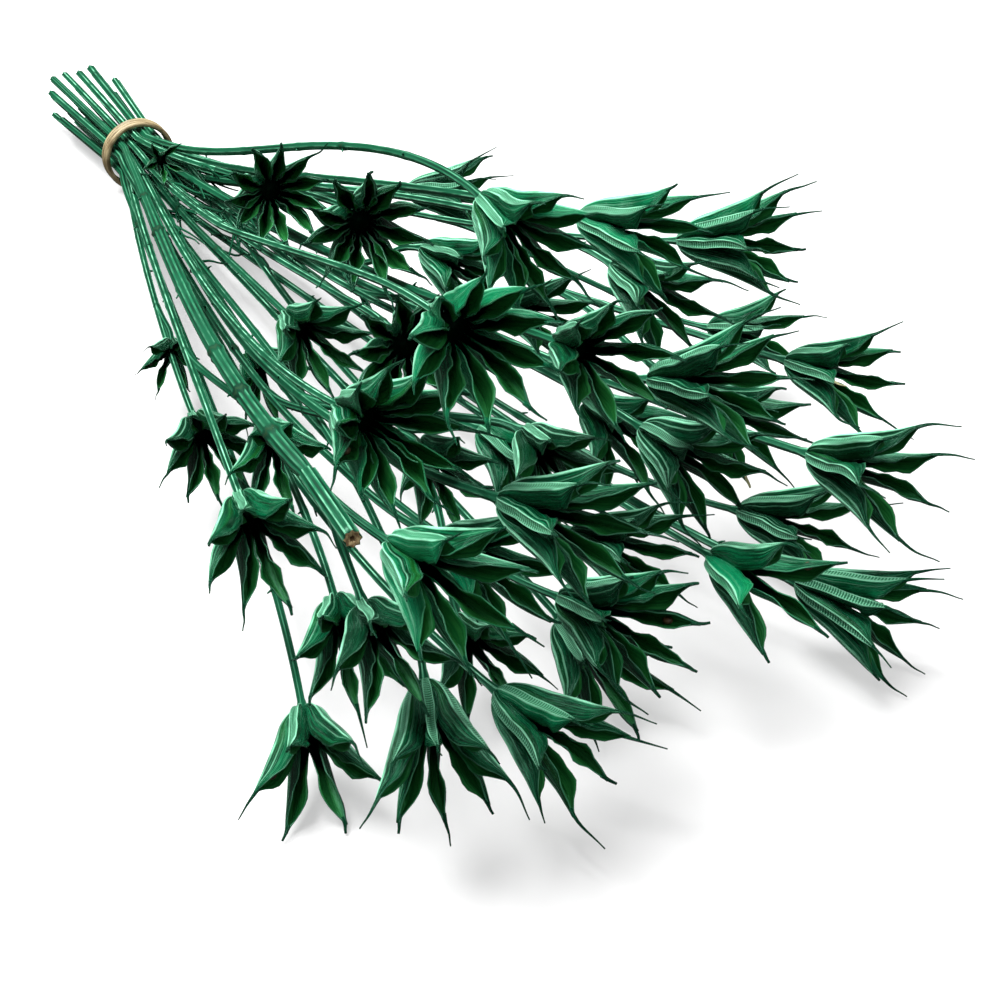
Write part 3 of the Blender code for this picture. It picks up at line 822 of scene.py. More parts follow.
def lay_head(shape, head, head_tone, draw):
    """Adds one head to a stem's shape: its walls with their thickness, beaks, floor and seeds."""
    part = new_shape()
    for follicle in head["follicles"]:
        for name, limits in FOLLICLE_DRAWS.items():
            follicle[name] = draw.uniform(*limits)
        tone = head_tone + draw.uniform(-TONE_SPREAD, TONE_SPREAD)
        lay_wall(part, head, follicle, min(tone, TONE_TOP))
    part.normal_update()
    outward = sum(face.calc_center_median().dot(face.normal) for face in part.faces)
    if outward < 0:
        bmesh.ops.reverse_faces(part, faces=part.faces[:])
    lining = bmesh.ops.solidify(part, geom=part.faces[:], thickness=WALL)["geom"]
    for face in lining:
        if isinstance(face, bmesh.types.BMFace):
            face.material_index = 1
            face.smooth = True
    for follicle in head["follicles"]:
        bare = draw.random() < BARE_BEAK_SHARE
        lay_beak(part, follicle, BARE_TONE if bare else head_tone)
        if draw.random() < SEED_SHARE:
            lay_seed(part, follicle, head_tone)
    lay_floor(part, head["count"], head_tone)
    part.transform(head["place"])
    mesh = bpy.data.meshes.new("part")
    part.to_mesh(mesh)
    part.free()
    shape.from_mesh(mesh)
    bpy.data.meshes.remove(mesh)


print("a head is ready to be laid out")

# %% [markdown]
# ## Finishes
# Everything grown was dyed one deep green, but it took the dye unevenly. The skin of the follicles
# is glossy and dark, their ribs and lips paler; the stems are a lighter sea green with pale ridges.
# One node group makes the fine streaks that run along every surface, and each finish places it with
# its own numbers.

# %% Helpers for node trees


def add_node(tree, kind, inputs=(), **settings):
    """Adds a node: its settings first, then values or links on its inputs."""
    made = tree.nodes.new(kind)
    for key, value in settings.items():
        setattr(made, key, value)
    for key, value in dict(inputs).items():
        if isinstance(value, bpy.types.NodeSocket):
            tree.links.new(value, made.inputs[key])
        else:
            made.inputs[key].default_value = value
    return made


def mark(tree, name):
    """The number that the mesh carries under this mark."""
    return add_node(tree, "ShaderNodeAttribute", attribute_name=name).outputs["Fac"]


def sums(tree, operation, first, second=0.0, third=0.0):
    """One sum of two or three numbers."""
    return add_node(
        tree, "ShaderNodeMath", {0: first, 1: second, 2: third}, operation=operation
    ).outputs[0]


def rising(tree, value, low, high, bottom=0.0, top=1.0):
    """A smooth step: bottom where the value is under low, top where it is over high."""
    return add_node(
        tree, "ShaderNodeMapRange",
        {"Value": value, "From Min": low, "From Max": high, "To Min": bottom, "To Max": top},
        interpolation_type="SMOOTHSTEP",
    ).outputs[0]


def times(tree, *factors):
    """The product of numbers, each of them a socket or plain."""
    product = factors[0]
    for factor in factors[1:]:
        product = sums(tree, "MULTIPLY", product, factor)
    return product


def line_at(tree, value, middle, full, none):
    """A soft line: 1 where the value is within full of its middle, 0 where it is none or more away."""
    away = sums(tree, "ABSOLUTE", sums(tree, "SUBTRACT", value, middle))
    return rising(tree, away, full, none, 1.0, 0.0)


def blended(tree, factor, first, second):
    """Two colours mixed by a factor."""
    made = add_node(tree, "ShaderNodeMix", {0: factor}, data_type="RGBA")
    for index, colour in ((6, first), (7, second)):
        if isinstance(colour, bpy.types.NodeSocket):
            tree.links.new(colour, made.inputs[index])
        else:
            made.inputs[index].default_value = (*colour, 1)
    return made.outputs[2]


def painted(tree, colour, *coats):
    """A colour under coats of others, each laid on by a mask of its own."""
    for factor, coat in coats:
        colour = blended(tree, factor, colour, coat)
    return colour


# %% [markdown]
# ## Streaks of dye
# Dye runs along the fibres, so every grown surface has fine streaks that are far longer than they
# are wide. Noise that is stretched along the surface gives them. It is used by three finishes, so it
# is made once, as a node group.

# %% The streaks group
STREAK_TONES = 40.0
STREAKS_IN = (("Across", 1.0), ("Along", 1.0), ("Tone", 0.5), ("Fineness", 8.0), ("Length", 2.0))
# What the group gives: the scale, detail and roughness of the noise behind each.
STREAK_NOISES = (("Streak", 1.0, 4.0, 0.6), ("Mottle", 0.23, 2.0, 0.5))


def streaks_group():
    """A node group: streaks that are fine across and long along, and a broader mottle."""
    group = bpy.data.node_groups.new("dye_streaks", "ShaderNodeTree")
    for name, value in STREAKS_IN:
        socket = group.interface.new_socket(name, in_out="INPUT", socket_type="NodeSocketFloat")
        socket.default_value = value
    for name, *_ in STREAK_NOISES:
        group.interface.new_socket(name, in_out="OUTPUT", socket_type="NodeSocketFloat")
    given = group.nodes.new("NodeGroupInput").outputs
    out = group.nodes.new("NodeGroupOutput").inputs
    place = add_node(
        group, "ShaderNodeCombineXYZ",
        {
            "X": times(group, given["Across"], given["Fineness"]),
            "Y": times(group, given["Along"], given["Length"]),
            "Z": times(group, given["Tone"], STREAK_TONES),
        },
    ).outputs[0]
    for name, scale, detail, roughness in STREAK_NOISES:
        noise = add_node(
            group, "ShaderNodeTexNoise",
            {"Vector": place, "Scale": scale, "Detail": detail, "Roughness": roughness},
        )
        group.links.new(noise.outputs["Fac"], out[name])
    return group


STREAKS = streaks_group()


def streaks(tree, across, along, tone, fineness, length):
    """Places the streaks group in a finish, and returns its streak and its mottle."""
    made = tree.nodes.new("ShaderNodeGroup")
    made.node_tree = STREAKS
    for name, value in zip(("Across", "Along", "Tone"), (across, along, tone)):
        tree.links.new(value, made.inputs[name])
    made.inputs["Fineness"].default_value = fineness
    made.inputs["Length"].default_value = length
    return made.outputs["Streak"], made.outputs["Mottle"]


def new_finish(name, specular=0.5, tint=(1.0, 1.0, 1.0)):
    """An empty finish, its node tree and its surface shader, with a shine of this strength and tint."""
    finish = bpy.data.materials.new(name)
    finish.use_nodes = True
    surface = finish.node_tree.nodes["Principled BSDF"]
    surface.inputs["Specular IOR Level"].default_value = specular
    surface.inputs["Specular Tint"].default_value = (*tint, 1)
    return finish, finish.node_tree, surface


def dress(tree, surface, colour, roughness, height, distance):
    """Links a colour, a roughness, and a height through a bump, to a surface shader."""
    bump = add_node(
        tree, "ShaderNodeBump", {"Height": height, "Distance": distance * MM, "Strength": 1.0}
    )
    tree.links.new(colour, surface.inputs["Base Color"])
    tree.links.new(roughness, surface.inputs["Roughness"])
    tree.links.new(bump.outputs[0], surface.inputs["Normal"])


print("streaks group:", [item.name for item in STREAKS.interface.items_tree])

# %% [markdown]
# ## The skin of the follicles
# The keel is a ladder: two pale ribs with fine bars across the darker hollow between them. The
# sides are deep emerald with long faint veins, a little olive where the dye is thin. The lips are
# paler, the beaks go almost black towards their points.

# %% Skin of the follicles
DYED_SHINE = (0.36, 1.0, 0.66)
DEEP = (0.0004, 0.014, 0.0050)
EMERALD = (0.0012, 0.112, 0.042)
BRIGHT = (0.003, 0.250, 0.098)
OLIVE = (0.009, 0.105, 0.012)
PALE = (0.240, 0.620, 0.400)
BEAK_DARK = (0.002, 0.036, 0.016)
STRAW = (0.420, 0.400, 0.220)
VEIN_SIDE = 0.46
LADDER_BARS = 36.0
LADDER_WAVES = LADDER_BARS * 6.283
LADDER_WANDER = 2.2


def pod_skin():
    """Glossy dyed skin, paler on ribs and lips, that follows the marks on the mesh."""
    finish, tree, surface = new_finish("pod_skin", 0.5, DYED_SHINE)
    along, across, tone = (mark(tree, name) for name in MARKS)
    side = sums(tree, "ABSOLUTE", across)
    streak, mottle = streaks(tree, across, along, tone, 11.0, 2.4)
    vein, patch = streaks(tree, across, along, tone, 34.0, 2.0)
    wear_and_highlight = rising(tree, streak, 0.36, 0.56, 0.30, 1.0)

    on_blade = sums(tree, "LESS_THAN", along, 1.0)
    keel = times(tree, rising(tree, side, 0.19, 0.25, 1.0, 0.0), on_blade)
    rib = times(tree, line_at(tree, side, KEEL_EDGE, 0.022, 0.068), on_blade)
    nerve = times(tree, line_at(tree, side, VEIN_SIDE, 0.0, 0.05), on_blade)
    lip = times(tree, rising(tree, side, 0.93, 1.0), rising(tree, along, 0.46, 0.56), on_blade)
    wander = sums(tree, "MULTIPLY_ADD", streak, LADDER_WANDER, times(tree, along, LADDER_WAVES))
    ladder = times(tree, rising(tree, sums(tree, "SINE", wander), -0.3, 0.5), keel)
    # Painted highlight: a pale sheen laid on where the veins and patches meet.
    painted_sheen = times(tree, rising(tree, vein, 0.50, 0.66), rising(tree, patch, 0.46, 0.62))

    # First the dye: streaks, veins, olive patches, and how dark or light the head is coloured, with a
    # painted sheen of pale patches as a highlight. Then what stands out of the wall, paler from wear
    # and as a painted highlight. Last the beaks, and the few that lost their dye.
    colour = painted(
        tree, DEEP,
        (rising(tree, streak, 0.36, 0.60), EMERALD),
        (rising(tree, vein, 0.56, 0.36, 0.0, 0.6), DEEP),
        (times(tree, painted_sheen, 0.20), PALE),
        (rising(tree, mottle, 0.52, 0.70, 0.0, 0.55), OLIVE),
        (rising(tree, tone, 0.75, 0.05, 0.0, 0.85), DEEP),
        (rising(tree, tone, 0.70, 1.0, 0.0, 0.55), BRIGHT),
        (times(tree, nerve, rising(tree, patch, 0.40, 0.60, 0.0, 0.45)), PALE),
        (times(tree, keel, 0.50), EMERALD),
        # Ladder, ribs and lips: paler partly from wear and partly as a painted highlight where they
        # stand out.
        (times(tree, ladder, wear_and_highlight, 0.75), PALE),
        (times(tree, rib, wear_and_highlight), PALE),
        (times(tree, lip, wear_and_highlight, 0.20), PALE),
        (rising(tree, along, 1.02, 1.35, 0.0, 0.85), BEAK_DARK),
        (rising(tree, tone, 1.9, 2.0), STRAW),
    )
    rough = sums(tree, "MULTIPLY_ADD", keel, 0.08, sums(tree, "MULTIPLY_ADD", streak, 0.34, 0.09))
    dress(tree, surface, colour, rough, sums(tree, "MULTIPLY_ADD", ladder, 0.45, vein), 0.34)
    return finish


POD_SKIN = pod_skin()
print("made", POD_SKIN.name)

# %% [markdown]
# ## The lining of the follicles
# The inside of a follicle is smoother than its skin, and a warmer, more olive green towards the
# open tips. Deep in the throat hardly any light falls, so the lining there is painted almost black as
# shade.

# %% Lining of the follicles
THROAT_SHADE = (0.0002, 0.006, 0.002)
LINING_DARK = (0.0030, 0.075, 0.016)
LINING_GREEN = (0.0200, 0.165, 0.034)


def pod_lining():
    """The inner side of the skin: smooth, with a satin shine and long fine lines."""
    finish, tree, surface = new_finish("pod_lining", 0.3, DYED_SHINE)
    along, across, tone = (mark(tree, name) for name in MARKS)
    streak, mottle = streaks(tree, across, along, tone, 16.0, 1.6)
    edge = rising(tree, sums(tree, "ABSOLUTE", across), 0.90, 1.0, 0.0, 0.15)
    colour = painted(
        tree, LINING_DARK,
        (rising(tree, streak, 0.35, 0.70), LINING_GREEN),
        (rising(tree, mottle, 0.55, 0.75, 0.0, 0.4), OLIVE),
        (times(tree, edge, rising(tree, along, 0.46, 0.56)), EMERALD),
        # Painted shade: deep in the throat the lining goes almost black.
        (rising(tree, along, 0.62, 0.42), THROAT_SHADE),
    )
    dress(tree, surface, colour, sums(tree, "MULTIPLY_ADD", streak, 0.25, 0.22), streak, 0.12)
    return finish


POD_LINING = pod_lining()
print("made", POD_LINING.name)

# %% [markdown]
# ## Seeds and cut ends
# Seeds and the pith of a cut stem have no direction, so plain noise on the object's own coordinates
# is enough for both, with two colours of its own for each.

# %% Seeds and cut ends
SEED_BROWN = (0.070, 0.034, 0.012)
SEED_DARK = (0.020, 0.011, 0.005)
PITH_PALE = (0.42, 0.30, 0.15)
PITH_BROWN = (0.16, 0.085, 0.035)


def plain_grain(name, first, second, scale, roughness, depth):
    """A rough natural surface: two colours in a fine noise, with a little relief."""
    finish, tree, surface = new_finish(name)
    place = add_node(tree, "ShaderNodeTexCoord").outputs["Object"]
    grain = add_node(
        tree, "ShaderNodeTexNoise", {"Vector": place, "Scale": scale / MM, "Detail": 4.0}
    ).outputs["Fac"]
    colour = blended(tree, rising(tree, grain, 0.35, 0.65), first, second)
    dress(tree, surface, colour, sums(tree, "MULTIPLY_ADD", grain, 0.2, roughness), grain, depth)
    return finish


SEED = plain_grain("seed", SEED_DARK, SEED_BROWN, 1.2, 0.35, 0.10)
PITH = plain_grain("pith", PITH_BROWN, PITH_PALE, 1.6, 0.6, 0.15)
print("made", SEED.name, "and", PITH.name)

# %% [markdown]
# ## The skin of the stems
# A stem is ribbed from end to end. The ridges are pale, partly where the dye wore off and partly
# as a painted highlight along each crest; the furrows are painted dark as shade, and small brown
# scars show where leaves stood.

# %% Skin of the stems
# The darkest colour is painted shade for the furrows; the palest is a painted highlight on the crests,
# partly wear.
FURROW_SHADE = (0.0010, 0.022, 0.010)
STEM_DARK = (0.0030, 0.065, 0.028)
STEM_GREEN = (0.007, 0.105, 0.046)
STEM_PALE_HIGHLIGHT = (0.260, 0.640, 0.420)
SCAR_BROWN = (0.012, 0.035, 0.014)


def stem_skin():
    """Ribbed, dyed stem skin: the across mark is 1 on a ridge, and along is in millimetres."""
    finish, tree, surface = new_finish("stem_skin", 0.5, DYED_SHINE)
    along, across, tone = (mark(tree, name) for name in MARKS)
    streak, mottle = streaks(tree, across, along, tone, 2.5, 0.16)
    ridge = rising(tree, across, 0.15, 0.75)
    crest = rising(tree, across, 0.55, 0.90)
    wear_and_highlight = times(tree, rising(tree, streak, 0.40, 0.60, 0.05, 1.0), crest)
    colour = painted(
        tree, FURROW_SHADE,
        (ridge, STEM_GREEN),
        (rising(tree, mottle, 0.42, 0.58, 0.0, 0.85), STEM_DARK),
        (times(tree, wear_and_highlight, rising(tree, tone, 0.1, 0.9, 0.15, 0.90)), STEM_PALE_HIGHLIGHT),
        (rising(tree, across, -0.5, -0.9, 0.0, 0.8), SCAR_BROWN),
    )
    height = sums(tree, "MULTIPLY_ADD", ridge, 0.8, times(tree, streak, 0.6))
    dress(tree, surface, colour, sums(tree, "MULTIPLY_ADD", streak, 0.25, 0.28), height, 0.14)
    return finish


STEM_SKIN = stem_skin()
print("made", STEM_SKIN.name)

# %% [markdown]
# ## Stems
# A stem's line runs from its cut tail, straight through the band, and then along its settled
# route. It is made smooth through the route's points, gets ridges by moving every second point of
# each ring in and out, swells where a leaf once stood, and widens into the foot of its head.

# %% Lines and radii of the stems
RIB_COUNT = 5
STALK_RIBS = 8
RIDGE = 0.13
RING_STEP = 3.0
NODE_GAPS = (26.0, 64.0)
NODE_SWELL = 0.20
NODE_HALF = 1.3
NODE_FIRST = 5.0
NODE_LAST = 12.0
FAR_FROM_NODES = 99.0
SCAR_HALF = 0.8
FOOT_SWELL = 0.62
FOOT_REACH = 4.5
SUNK_BY = 1.2


def lengths_along(line):
    """The distance of each point of a line from its start."""
    return np.concatenate(([0], np.cumsum(np.linalg.norm(np.diff(line, axis=0), axis=1))))


def sunk(line):
    """A line with its end moved on a little, into the foot of its head."""
    return np.concatenate((line, [line[-1] + unit(line[-1] - line[-2]) * SUNK_BY]))


def smooth_line(points, step):
    """A line resampled at even steps along a smooth curve through its points."""
    lengths = lengths_along(points)
    count = max(3, int(lengths[-1] / step) + 1)
    return smooth_through(lengths, points, np.linspace(0, lengths[-1], count))


def stem_line(slot, route, length):
    """A stem's centreline from its cut tail, straight through the band, then along its route."""
    splay = 1 + TAIL_SPLAY * length / TAIL_LENGTHS[1]
    tail = np.array((slot[0] * splay, length, TIE_HEIGHT + slot[1] * (1 + (splay - 1) * 0.5)))
    behind = np.array((slot[0], TIE_HALF_WIDTH, TIE_HEIGHT + slot[1]))
    start = route["points"][0]
    steps = np.linspace(0, 1, int(length / RING_STEP))[:-1, None]
    through = np.linspace(0, 1, 5)[:-1, None]
    run = sunk(smooth_line(route["points"], RING_STEP))
    return np.concatenate((tail + (behind - tail) * steps, behind + (start - behind) * through, run))


def stem_radii(index, line, stout):
    """The radius along a stem: a slight taper, or for the stalk a swelling as well."""
    share = np.clip(-line[:, 1] / -line[-1, 1], 0, 1)
    taper = (STEM_RADIUS + (PEDICEL_RADIUS - STEM_RADIUS) * share) * stout
    if index == STALK:
        along = (*STALK_SWELLS, STALK_FORK, STALK_FORK + STALK_NARROWS)
        taper = taper + (STALK_RADIUS - taper) * np.interp(share, along, (0, 1, 1, 0))
    return taper


print("ridges on a stem:", RIB_COUNT, "on the stalk:", STALK_RIBS)

# %% [markdown]
# ## One stem
# A stem is a single tube. Its radius changes from point to point of each ring, which gives the
# ridges, and from ring to ring, which gives the taper, the swellings at its nodes and the foot of
# its head.

# %% Lay out a stem


def node_places(length, clear, draw):
    """Where leaves once stood: at uneven steps along a stem, none in its first clear length."""
    places = []
    at = clear + draw.uniform(NODE_FIRST, NODE_GAPS[1])
    while at < length - NODE_LAST:
        places.append(at)
        at += draw.uniform(*NODE_GAPS)
    return np.array(places)


def lay_stem(shape, line, radii, ribs, swells_at_foot, clear, draw):
    """Adds one ribbed stem with its nodes, and returns the two caps at its ends."""
    lengths = lengths_along(line)
    nodes = node_places(lengths[-1], clear, draw)
    tone = draw.random()
    start_turn = draw.uniform(0, 6.28)
    off_node = np.full(len(line), FAR_FROM_NODES)
    if len(nodes):
        off_node = np.abs(lengths[:, None] - nodes[None]).min(1)
    swell = NODE_SWELL * np.exp(-((off_node / NODE_HALF) ** 2))
    if swells_at_foot:
        swell = swell + FOOT_SWELL * eased(lengths[-1] - FOOT_REACH, lengths[-1], lengths)

    def ridge_at(turn):
        return np.where(np.rint(turn / math.pi * ribs).astype(int) % 2 == 0, 1.0, -1.0)

    def radius_at(ring, turn):
        return radii[ring] * (1 + swell[ring]) * (1 + RIDGE * (ridge_at(turn) - 0.3))

    def marks_at(ring, turn):
        ridge = ridge_at(turn) * 0.5 + 0.5
        scar = (off_node[ring] < SCAR_HALF) & (np.cos(turn - start_turn) > 0.2)
        ridge = np.where(scar, -1.0, ridge)
        return np.stack((lengths[ring], ridge, np.full(len(ring), tone)), 1)

    caps = lay_tube(shape, line, radius_at, 2 * ribs, marks_at, 0)
    lay_spurs(shape, line, lengths, nodes, radii, tone, draw)
    lay_threads(shape, line, lengths, nodes, tone, draw)
    return caps


def spot_at(line, lengths, place):
    """The point of a line at this distance along it: its number, and the way the line runs there."""
    ring = int(np.abs(lengths - place).argmin())
    return ring, unit(line[min(ring + 1, len(line) - 1)] - line[ring - 1])


def lay_twig(shape, line, ends, sides, place, shade, tone):
    """Adds a tapering twig at a place on a stem: shade is the least and most of its across mark."""
    thick = np.linspace(*ends, len(line))
    middle, swing = (shade[0] + shade[1]) / 2, (shade[1] - shade[0]) / 2

    def marks_at(ring, turn):
        return np.stack((place + ring, middle + swing * np.cos(turn), np.full(len(ring), tone)), 1)

    lay_tube(shape, line, lambda ring, turn: thick[ring], sides, marks_at, 0)


# %% [markdown]
# ## Stumps of leaves
# Where a leaf fell, the dry stump of its stalk stays on the stem. Each is a short tube that leans
# forward, rooted inside the stem so that no gap shows.

# %% Spurs at the nodes
SPUR_LENGTHS = (0.8, 2.2)
SPUR_ROOT = 0.42
SPUR_POINT = 0.16
SPUR_SIDES = 5
SPUR_RINGS = 4
SPUR_ROOTED = 0.6
SPUR_LEAN = 0.75
SPUR_SHADE = (-0.4, 0.4)


def lay_spurs(shape, line, lengths, nodes, radii, tone, draw):
    """Adds the dry stump of a leaf's stalk at each node, leaning forward along the stem."""
    across, over = frame_along(line)
    for place in nodes:
        ring, ahead = spot_at(line, lengths, place)
        turn = draw.uniform(0, 6.28)
        out = math.cos(turn) * across[ring] + math.sin(turn) * over[ring]
        length = draw.uniform(*SPUR_LENGTHS)
        share = np.linspace(0, 1, SPUR_RINGS)[:, None]
        root = line[ring] + out * radii[ring] * SPUR_ROOTED
        spur = root + (out * SPUR_LEAN + ahead * (0.5 + 0.5 * share)) * length * share
        lay_twig(shape, spur, (SPUR_ROOT, SPUR_POINT), SPUR_SIDES, place, SPUR_SHADE, tone)


print("spurs are", SPUR_LENGTHS, "mm long")

# %% [markdown]
# ## Dry threads of leaves
# The leaves of this plant are fine threads. Most fell when it dried, and what is left of them
# lies between the inner stems and fills the inside of the bunch. Each is a tube that starts at a
# node, runs forward along its stem, and bends a little aside and down.

# %% Threads of leaves
THREADS_AT_NODE = 3
THREAD_LENGTHS = (9.0, 24.0)
THREADS_WITHIN = 12.0
THREAD_ROOT = 0.46
THREAD_POINT = 0.22
THREAD_SIDES = 4
THREAD_RINGS = 9
THREAD_TURN = 1.6
THREAD_OUT = (0.10, 0.35)
THREAD_CURL = (0.12, 0.10)
THREAD_WIGGLE = 0.04
THREAD_WAVES = 9
THREAD_SHADE = (-0.1, 0.3)
SLICE_HALF = 12.0

EVERY_POINT = np.concatenate([route["points"] for route in ROUTES])


def middle_at(place):
    """The middle of all the stems at the same distance from the band as a place."""
    near = EVERY_POINT[np.abs(EVERY_POINT[:, 1] - place[1]) < SLICE_HALF]
    return near.mean(0) if len(near) else place


def lay_threads(shape, line, lengths, nodes, tone, draw):
    """Adds the curled threads that are left of the leaves at each node."""
    across, over = frame_along(line)
    share = np.linspace(0, 1, THREAD_RINGS)[:, None]
    for place in np.repeat(nodes, THREADS_AT_NODE):
        ring, ahead = spot_at(line, lengths, place)
        inward = middle_at(line[ring]) - line[ring]
        if np.linalg.norm(inward) > THREADS_WITHIN:
            continue
        turn = math.atan2(inward @ over[ring], inward @ across[ring])
        turn += draw.uniform(-THREAD_TURN, THREAD_TURN)
        out = math.cos(turn) * across[ring] + math.sin(turn) * over[ring]
        beside = math.cos(turn) * over[ring] - math.sin(turn) * across[ring]
        length = draw.uniform(*THREAD_LENGTHS)
        way = out * draw.uniform(*THREAD_OUT) + ahead
        curl = sum(w * draw.uniform(-most, most) for w, most in zip((beside, out), THREAD_CURL))
        wiggle = beside * draw.uniform(-THREAD_WIGGLE, THREAD_WIGGLE) * np.sin(THREAD_WAVES * share)
        thread = line[ring] + (way * share + curl * share**2 + wiggle) * length
        ends = (THREAD_ROOT, THREAD_POINT)
        lay_twig(shape, thread, ends, THREAD_SIDES, place, THREAD_SHADE, tone)


print("threads are", THREAD_LENGTHS, "mm long")

# %% [markdown]
# ## Cut ends
# A cut stem shows a rim of wood round a soft pith that has shrunk. Insetting the end of the tube
# makes the rim, and a second inset with a depth sinks the pith.

# %% Cut ends
CUT_RIM = 0.38
CUT_DEPTH = 1.1


def hollow_out(shape, cap, rim, depth):
    """Makes a cut end: a pale rim round a sunken pith."""
    bmesh.ops.inset_region(shape, faces=[cap], thickness=0.12 * rim, depth=0.0, use_even_offset=True)
    ring = bmesh.ops.inset_region(shape, faces=[cap], thickness=rim, depth=0.0, use_even_offset=True)
    deep = bmesh.ops.inset_region(shape, faces=[cap], thickness=0.05 * rim, depth=-depth)
    for face in [cap, *ring["faces"], *deep["faces"]]:
        face.material_index = 1


# %% [markdown]
# ## Assembling the bunch
# Each stem becomes two pieces, one for its stem and branches and one for its heads, because they
# have different finishes. Both stand for the same solid and lie exactly where it does.

# %% All stems and heads
BRANCH_ROOT = 1.25
BRANCH_NARROWS = 6.0
BRANCH_CLEAR = 8.0
STUB_RINGS = 12
STUB_CLEAR = 99.0
STUB_RIM = 0.75
STUB_DEPTH = 4.0


def branches_of(index):
    """The branches that grow on a stem."""
    return [route for route in ROUTES if route["on"] and route["on"][0] == index]


def lay_stub(shape, index, draw):
    """Adds the cut-off stub that runs on from the fork of the thick stalk, hollow at its end."""
    points = ROUTES[index]["points"]
    fork = points[round(STALK_FORK * (len(points) - 1))]
    line = fork + np.linspace(0, 1, STUB_RINGS)[:, None] * np.array(STUB, float)
    radii = np.full(len(line), STALK_RADIUS)
    caps = lay_stem(shape, line, radii, STALK_RIBS, False, STUB_CLEAR, draw)
    front = min(caps, key=lambda face: face.calc_center_median().y)
    hollow_out(shape, front, STUB_RIM, STUB_DEPTH)


def make_stem(index, stem, draw):
    """The stem's own piece: tail, run and branches, with the tail's cut end hollow."""
    shape = new_shape()
    line = stem_line(SLOTS[index], ROUTES[index], stem["tail"])
    ribs = STALK_RIBS if index == STALK else RIB_COUNT
    clear = stem["tail"] + 2 * TIE_HALF_WIDTH
    caps = lay_stem(shape, line, stem_radii(index, line, stem["stout"]), ribs, True, clear, draw)
    back = max(caps, key=lambda face: face.calc_center_median().y)
    hollow_out(shape, back, CUT_RIM, CUT_DEPTH)
    for branch in branches_of(index):
        run = sunk(smooth_line(branch["points"], RING_STEP))
        wider = (BRANCH_ROOT - 1) * np.exp(-lengths_along(run) / BRANCH_NARROWS)
        taper = PEDICEL_RADIUS * stem["stout"] * (1 + wider)
        lay_stem(shape, run, taper, RIB_COUNT, True, BRANCH_CLEAR, draw)
    if index == STALK:
        lay_stub(shape, index, draw)
    name = f"stem_{index + 1:02d}"
    return finish_piece(shape, name + "_ribbed", name, (STEM_SKIN, PITH))


def make_heads(index, stem, draw):
    """The piece that holds all the seed heads of one stem."""
    shape = new_shape()
    for number, head in enumerate(stem["heads"]):
        tone = draw.random()
        lay_head(shape, head, tone if number else HEAD_TONES.get(index, tone), draw)
    name = f"stem_{index + 1:02d}"
    return finish_piece(shape, name + "_heads", name, (POD_SKIN, POD_LINING, SEED))


look = random.Random(5)
triangles = 0
for index, stem in enumerate(BUNCH):
    for piece in (make_stem(index, stem, look), make_heads(index, stem, look)):
        triangles += sum(len(face.vertices) - 2 for face in piece.data.polygons)
print("stems and heads:", triangles, "triangles")

# %% [markdown]
# ## The rubber band
# The band goes round the stems three times. Each turn is a soft round cord, a little thinner than
# its full radius. A circle is spun round the bunch for each turn.

# %% Rubber band
BAND_TURNS = 3
BAND_CORD_RADIUS = 0.85
BAND_PITCH = 1.7 * BAND_CORD_RADIUS
BAND_GAP = 0.35
BAND_STEPS = 96
BAND_SIDES = 14
BAND_FLAT = 0.90
BAND_STREAKS = (250, 2600, 250)
BEIGE = (0.120, 0.085, 0.038)
BEIGE_PALE = (0.330, 0.265, 0.145)


def band_finish():
    """Old natural rubber: beige, satin, with faint lengthwise streaks."""
    finish, tree, surface = new_finish("rubber", specular=0.4)
    place = add_node(tree, "ShaderNodeTexCoord").outputs["Object"]
    stretched = add_node(
        tree, "ShaderNodeMapping", {"Vector": place, "Scale": BAND_STREAKS}
    ).outputs[0]
    grain = add_node(tree, "ShaderNodeTexNoise", {"Vector": stretched, "Scale": 1.0, "Detail": 3.0})
    grain = grain.outputs["Fac"]
    colour = blended(tree, rising(tree, grain, 0.35, 0.65), BEIGE, BEIGE_PALE)
    dress(tree, surface, colour, sums(tree, "MULTIPLY_ADD", grain, 0.2, 0.42), grain, 0.08)
    return finish


def make_band():
    """Three cords side by side, each a circle spun round the bunch."""
    shape = new_shape()
    inner = max(math.hypot(*slot) for slot in hexagon_slots()) + STEM_RADIUS + BAND_GAP
    centre = inner + BAND_CORD_RADIUS
    for turn in range(BAND_TURNS):
        along = (turn - (BAND_TURNS - 1) / 2) * BAND_PITCH
        place = Matrix.Translation((0, along, centre)) @ Matrix.Rotation(math.radians(90), 4, "Y")
        cord = bmesh.ops.create_circle(
            shape, cap_ends=False, segments=BAND_SIDES, radius=BAND_CORD_RADIUS * BAND_FLAT,
            matrix=place,
        )["verts"]
        edges = list({edge for vert in cord for edge in vert.link_edges})
        bmesh.ops.spin(
            shape, geom=cord + edges, cent=(0, 0, 0), axis=(0, 1, 0), angle=2 * math.pi,
            steps=BAND_STEPS, use_merge=True,
        )
    bmesh.ops.remove_doubles(shape, verts=shape.verts[:], dist=SEAM_MERGE)
    bmesh.ops.recalc_face_normals(shape, faces=shape.faces[:])
    for face in shape.faces:
        face.smooth = True
    bmesh.ops.translate(shape, verts=shape.verts[:], vec=(0, 0, TIE_HEIGHT))
    for vert in shape.verts:
        vert.co.z = max(vert.co.z, 0.0)
    return finish_piece(shape, "rubber_band_turns", "tie_band", (band_finish(),))


band = make_band()
print("band:", len(band.data.polygons), "faces")

# %% [markdown]
# ## Table and light
# The bunch lies on a plain pale table in soft daylight: one large soft light above and behind it
# on the left, which puts the shadows below and to the right, a weak one in front, and an even sky.
# The table glows a little and so comes out white. It is left out of reflections and bounced light,
# because a white table all round would turn the deep greens grey.

# %% Table
TABLE_SIZE = 6.0
TABLE_WHITE = (0.34, 0.34, 0.34)
TABLE_GLOW = 0.49
TABLE_DROP = 0.0001

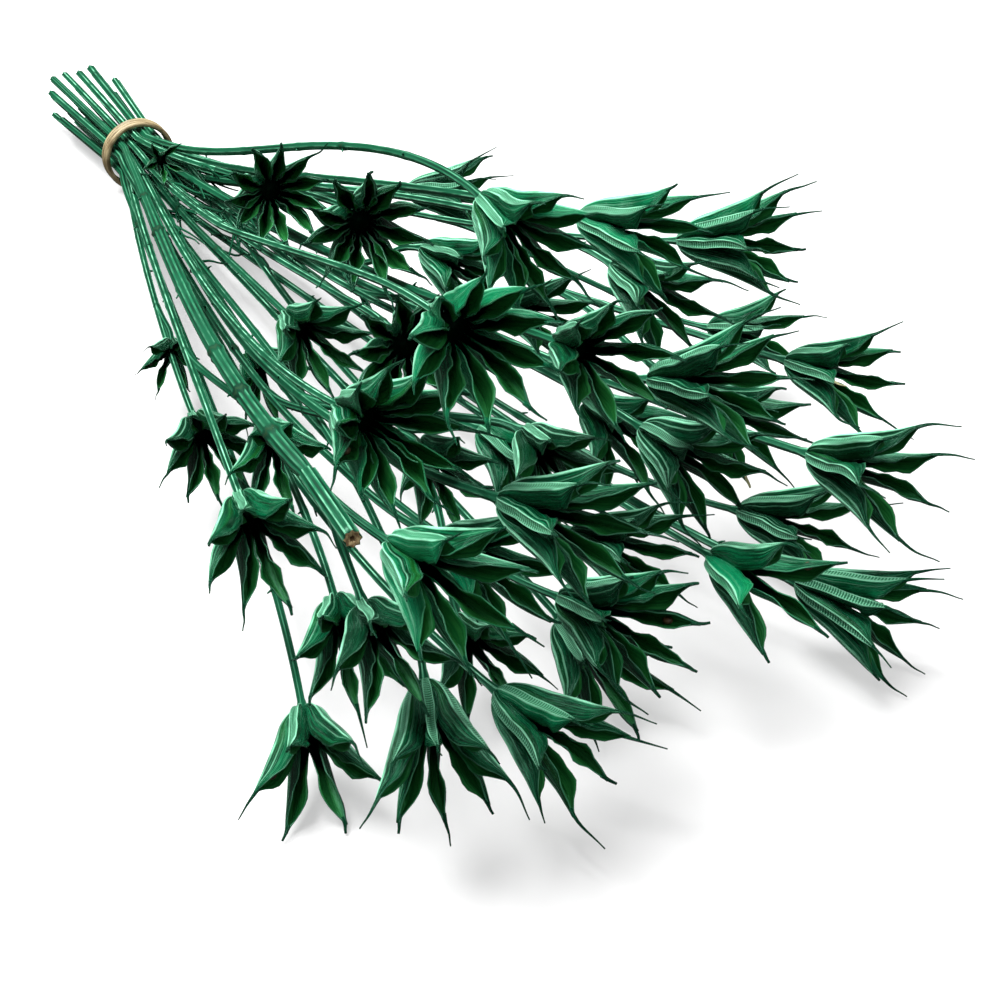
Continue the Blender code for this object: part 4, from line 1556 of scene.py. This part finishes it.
shape = bmesh.new()
bmesh.ops.create_grid(shape, x_segments=1, y_segments=1, size=TABLE_SIZE / 2)
bmesh.ops.translate(shape, verts=shape.verts[:], vec=(0, 0, -TABLE_DROP))
mesh = bpy.data.meshes.new("table")
shape.to_mesh(mesh)
shape.free()
table = bpy.data.objects.new("table", mesh)
bpy.context.scene.collection.objects.link(table)
paper, tree, surface = new_finish("table_white", specular=0.2)
surface.inputs["Base Color"].default_value = (*TABLE_WHITE, 1)
surface.inputs["Roughness"].default_value = 0.8
surface.inputs["Emission Color"].default_value = (1, 1, 1, 1)
surface.inputs["Emission Strength"].default_value = TABLE_GLOW
mesh.materials.append(paper)
table.visible_glossy = False
table.visible_diffuse = False
print("table:", TABLE_SIZE, "m wide")

# %% [markdown]
# ## The light
# A soft light shows form through its gradients, so the main light is a large square. The sky lights
# every side evenly, but hardly shows in the gloss, or it would veil the dark greens with grey.

# %% Light
SKY = (1.0, 1.0, 1.0)
SKY_STRENGTH = 0.40
SKY_IN_GLOSS = 0.06
LIGHT_AIM = (0, -0.05, 0.03)

# Each light's name, place, size in metres and power in watts.
LIGHTS = (("key", (-0.34, 0.30, 1.25), 1.0, 68), ("fill", (0.5, -0.9, 0.8), 0.8, 4))


def soft_light(name, place, size, watts):
    """A square area light aimed at the middle of the bunch."""
    light = bpy.data.lights.new(name, "AREA")
    light.shape = "SQUARE"
    light.size = size
    light.energy = watts
    lamp = bpy.data.objects.new(name, light)
    bpy.context.scene.collection.objects.link(lamp)
    lamp.location = place
    aim = Vector(LIGHT_AIM) - lamp.location
    lamp.rotation_euler = aim.to_track_quat("-Z", "Y").to_euler()


world = bpy.data.worlds.new("sky")
world.use_nodes = True
tree = world.node_tree
background = tree.nodes["Background"]
background.inputs["Color"].default_value = (*SKY, 1)
in_gloss = add_node(tree, "ShaderNodeLightPath").outputs["Is Glossy Ray"]
strength = sums(tree, "MULTIPLY_ADD", in_gloss, SKY_IN_GLOSS - SKY_STRENGTH, SKY_STRENGTH)
tree.links.new(strength, background.inputs["Strength"])
bpy.context.scene.world = world
for name, place, size, watts in LIGHTS:
    soft_light(name, place, size, watts)
bpy.context.scene.view_settings.view_transform = "Standard"
print("lights: key, fill and sky")
